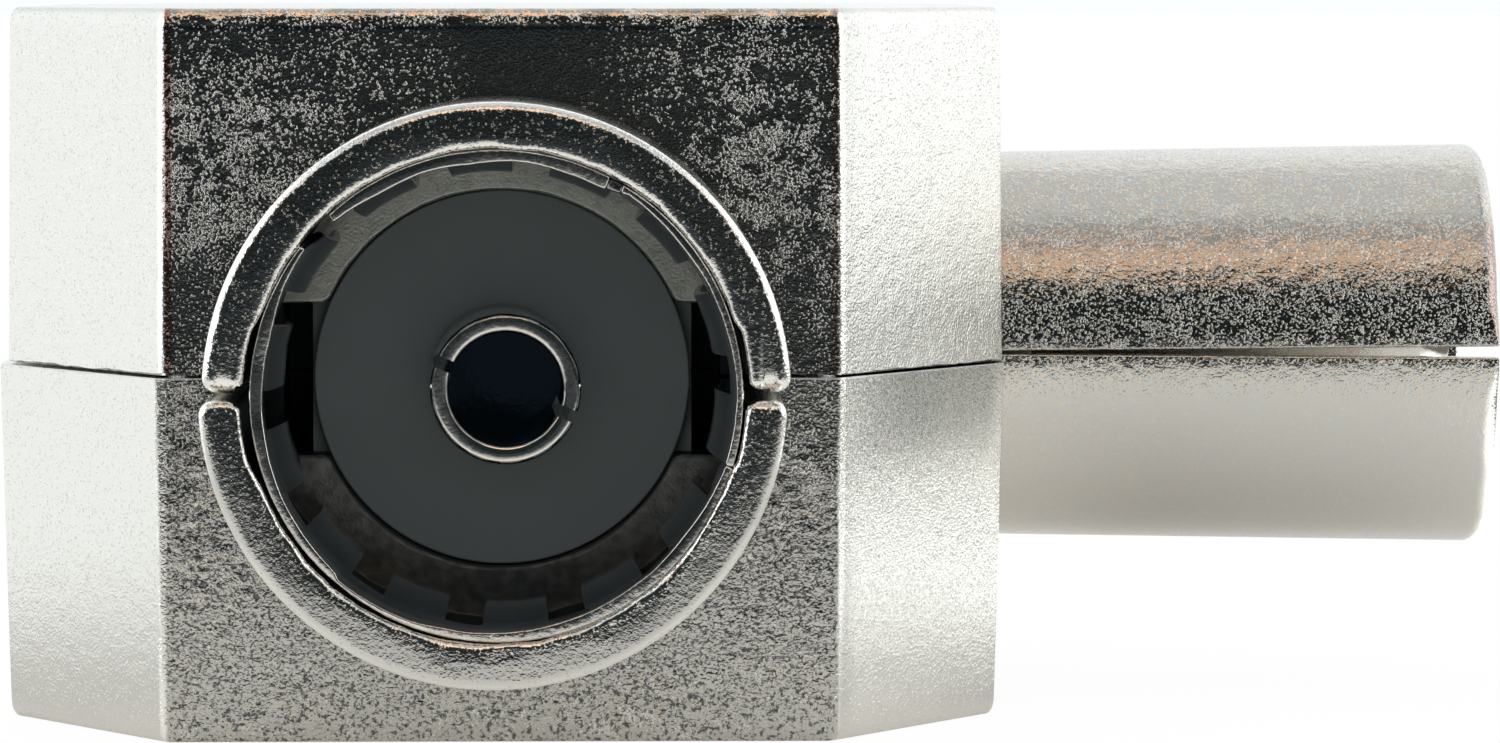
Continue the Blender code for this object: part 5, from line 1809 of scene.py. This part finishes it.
@dataclass
class Studio:
    """The floor, the soft lights, the world and the camera.

    Spans and bands on the floor are millimetres to the right or behind, and those of the room
    are parts of a direction. What the plating mirrors is set apart from what lights it.
    """

    places: Stations
    focal_pixels: float = 7277.0
    image: Point2 = (1500.0, 743.0)
    vanishing: Point2 = (612.0, -27.7)
    eye: tuple[float, float, float] = (2.5, -180.0, 9.163)
    sensor: float = 36.0
    floor_size: float = 6000.0
    floor_level: float = -0.02
    dim_floor: Span = (-22.0, -75.0)
    near_floor: Span = (-50.0, -28.0)
    middle_floor: Span = (17.0, 10.0)
    bright_floor: Span = (23.0, 33.0)
    bright_back: Span = (-22.0, -6.0)
    grey_floor: Band = (46.0, 56.0, 110.0, 150.0)
    pool_floor: Band = (24.0, 30.0, 42.0, 48.0)
    white: Colour = (0.82, 0.80, 0.77)
    dim: Colour = (0.045, 0.05, 0.055)
    grey: Colour = (0.16, 0.14, 0.12)
    warm_glow: Colour = (1.0, 0.97, 0.92)
    cool_glow: Colour = (0.96, 1.0, 1.0)
    front_wall: Span = (-0.15, -0.35)
    side_walls: Span = (0.5, 0.8)
    back_wall: Span = (0.3, 0.7)
    dim_room: Span = (-0.46, -0.68)
    lamp_width: Span = (0.40, 0.22)
    lamp_height: Band = (0.60, 0.72, 0.85, 0.91)
    curtain_side: Span = (0.60, 0.68)
    curtain_end: Span = (0.80, 0.72)
    curtain_height: Span = (0.85, 0.70)
    ceiling: Span = (0.70, 0.92)
    daylight: Colour = (0.96, 1.0, 1.02)
    room_tint: Colour = (0.70, 0.98, 1.0)
    lamp_tint: Colour = (1.4, 0.92, 0.62)
    curtain_tint: Colour = (0.75, 0.50, 0.40)

    def build(self) -> None:
        """Build the studio round the object."""
        self._floor()
        self._world()
        self._lights()
        self._camera()
        bpy.context.scene.view_settings.view_transform = "Standard"

    def _floor(self) -> None:
        """Lay a plain white floor that keeps the object's shadow."""
        corners = oblong(self.floor_size / 2, self.floor_size / 2)
        bm = bmesh.new()
        bm.faces.new([bm.verts.new((x * MM, y * MM, self.floor_level * MM)) for x, y in corners])
        floor = add_object("studio_floor", bm)
        material = bpy.data.materials.new("white_floor")
        material.use_nodes = True
        tree = NodeTree(material.node_tree)
        seen, mirrored = tree.rays()
        place = tree.value("ShaderNodeTexCoord", {}, {}, "Object")
        across, back, _ = (part / MM for part in tree.parts(place))
        side = across.absolute().step(*self.bright_floor)
        grey = across.band(*self.grey_floor)
        pale = tree.layered(self.white, (back.step(*self.dim_floor) * mirrored, self.dim),
                            (grey * mirrored, self.grey))
        matt = tree.value("ShaderNodeBsdfDiffuse", {}, {"Color": pale})
        glow = tree.blend(mirrored, (1.0, 1.0, 1.0), tree.blend(side, self.warm_glow, self.cool_glow))
        strength = 1.02 + mirrored * (0.24 + 0.5 * across.band(*self.pool_floor))
        white = tree.value("ShaderNodeEmission", {}, {"Color": glow, "Strength": strength})
        middle = 0.04 + 0.24 * across.absolute().step(*self.middle_floor)
        beside = 0.9 * side * back.step(*self.bright_back) * (1.0 - grey)
        share = seen * 0.94 + mirrored * beside.maths("MAXIMUM", middle * back.step(*self.near_floor))
        mixed = tree.node("ShaderNodeMixShader", {}, {0: share, 1: matt, 2: white})
        tree.node("ShaderNodeOutputMaterial", {}, {"Surface": mixed.outputs[0]})
        floor.data.materials.append(material)

    def _world(self) -> None:
        """Make a white world with the dim room behind the photographer."""
        world = bpy.data.worlds.new("studio")
        world.use_nodes = True
        bpy.context.scene.world = world
        tree = NodeTree(world.node_tree)
        across, back, up = tree.parts(tree.value("ShaderNodeTexCoord", {}, {}, "Generated"))
        seen, mirrored = tree.rays()
        aside = across.absolute()
        front = back.step(*self.front_wall)
        room = back.step(*self.dim_room)
        lamp = front * aside.step(*self.lamp_width) * up.band(*self.lamp_height)
        curtain = front * aside.step(*self.curtain_side) * up.step(*self.curtain_height)
        ceiling = up.step(*self.ceiling) * (1.0 - room)
        tint = tree.layered(self.daylight, (mirrored * room, self.room_tint),
                            (mirrored * lamp, self.lamp_tint),
                            (mirrored * curtain * aside.step(*self.curtain_end), self.curtain_tint))
        sides = aside.step(*self.side_walls) * (1.0 - front) + 0.5 * back.step(*self.back_wall)
        light = 0.88 + mirrored * (0.32 * sides - (0.86 * room + 0.5 * ceiling) * (1.0 - lamp))
        sky = tree.node("ShaderNodeBackground", {}, {"Color": tint, "Strength": seen + (1.0 - seen) * light})
        tree.node("ShaderNodeOutputWorld", {}, {"Surface": sky.outputs[0]})

    def _lights(self) -> None:
        """Hang soft panels to the left, to the right and above."""
        panels = {
            "left_panel": ((-430.0, -60.0, 110.0), 380.0, 0.32),
            "right_panel": ((430.0, -20.0, 130.0), 340.0, 0.24),
            "top_panel": ((0.0, 60.0, 460.0), 360.0, 0.11),
        }
        target = Vector((0.0, 0.0, self.places.axis))
        for name, (where, size, power) in panels.items():
            lamp = bpy.data.lights.new(name, "AREA")
            lamp.shape = "SQUARE"
            lamp.size = size * MM
            lamp.energy = power
            item = bpy.data.objects.new(name, lamp)
            item.location = Vector(where) * MM
            item.rotation_euler = (target - Vector(where)).to_track_quat("-Z", "Y").to_euler()
            bpy.context.scene.collection.objects.link(item)

    def _camera(self) -> None:
        """Stand the camera where the photograph was taken from."""
        lens = bpy.data.cameras.new("camera")
        lens.sensor_width = self.sensor
        lens.lens = self.focal_pixels / self.image[0] * self.sensor
        lens.clip_start = 1.0 * MM
        item = bpy.data.objects.new("camera", lens)
        bpy.context.scene.collection.objects.link(item)
        turn = math.atan((self.image[0] / 2 - self.vanishing[0]) / self.focal_pixels)
        down = math.atan((self.image[1] / 2 - self.vanishing[1]) / self.focal_pixels * math.cos(turn))
        item.location = Vector((self.eye[0], self.eye[1], self.places.axis + self.eye[2])) * MM
        item.rotation_euler = (math.pi / 2 - down, 0.0, -turn)
        bpy.context.scene.camera = item


def main() -> None:
    """Build and dress the splitter, then the studio round it."""
    logging.basicConfig(level=logging.INFO, format="%(name)s: %(message)s")
    places = Stations.from_frame()
    cast = CastNickel("cast_nickel", places.axis, places.rim).material()
    # The shade colours and bores given here set the painted shade deep inside the spring sleeves and the
    # contacts.
    spring = PlatedMetal("spring_nickel", plate=(0.74, 0.72, 0.68), roughness=0.07, grain=0.10, relief=0.02,
                         axis=places.axis, cut=places.rim - SpringSleeve.recess, bore=5.6,
                         bore_end=places.rim - 0.4, shade=(0.17, 0.19, 0.22)).material()
    contact = PlatedMetal("contact_nickel", plate=(0.80, 0.78, 0.74), roughness=0.04, grain=0.12,
                          relief=0.009, axis=places.axis, cut=places.rim - SocketContact.recess,
                          bore=SocketContact.bore, bore_end=places.rim - 3.2).material()
    plastic = Moulding("charcoal_moulding").material()
    for half in Half:
        CastShell(half, places).build(cast)
    for socket in Socket:
        SpringSleeve(socket, places).build(spring)
        SocketInsulator(socket, places).build(plastic)
        SocketContact(socket, places).build(contact)
    PlugCore(places).build(plastic, contact)
    Board().build()
    Studio(places).build()


if __name__ == "__main__":
    main()
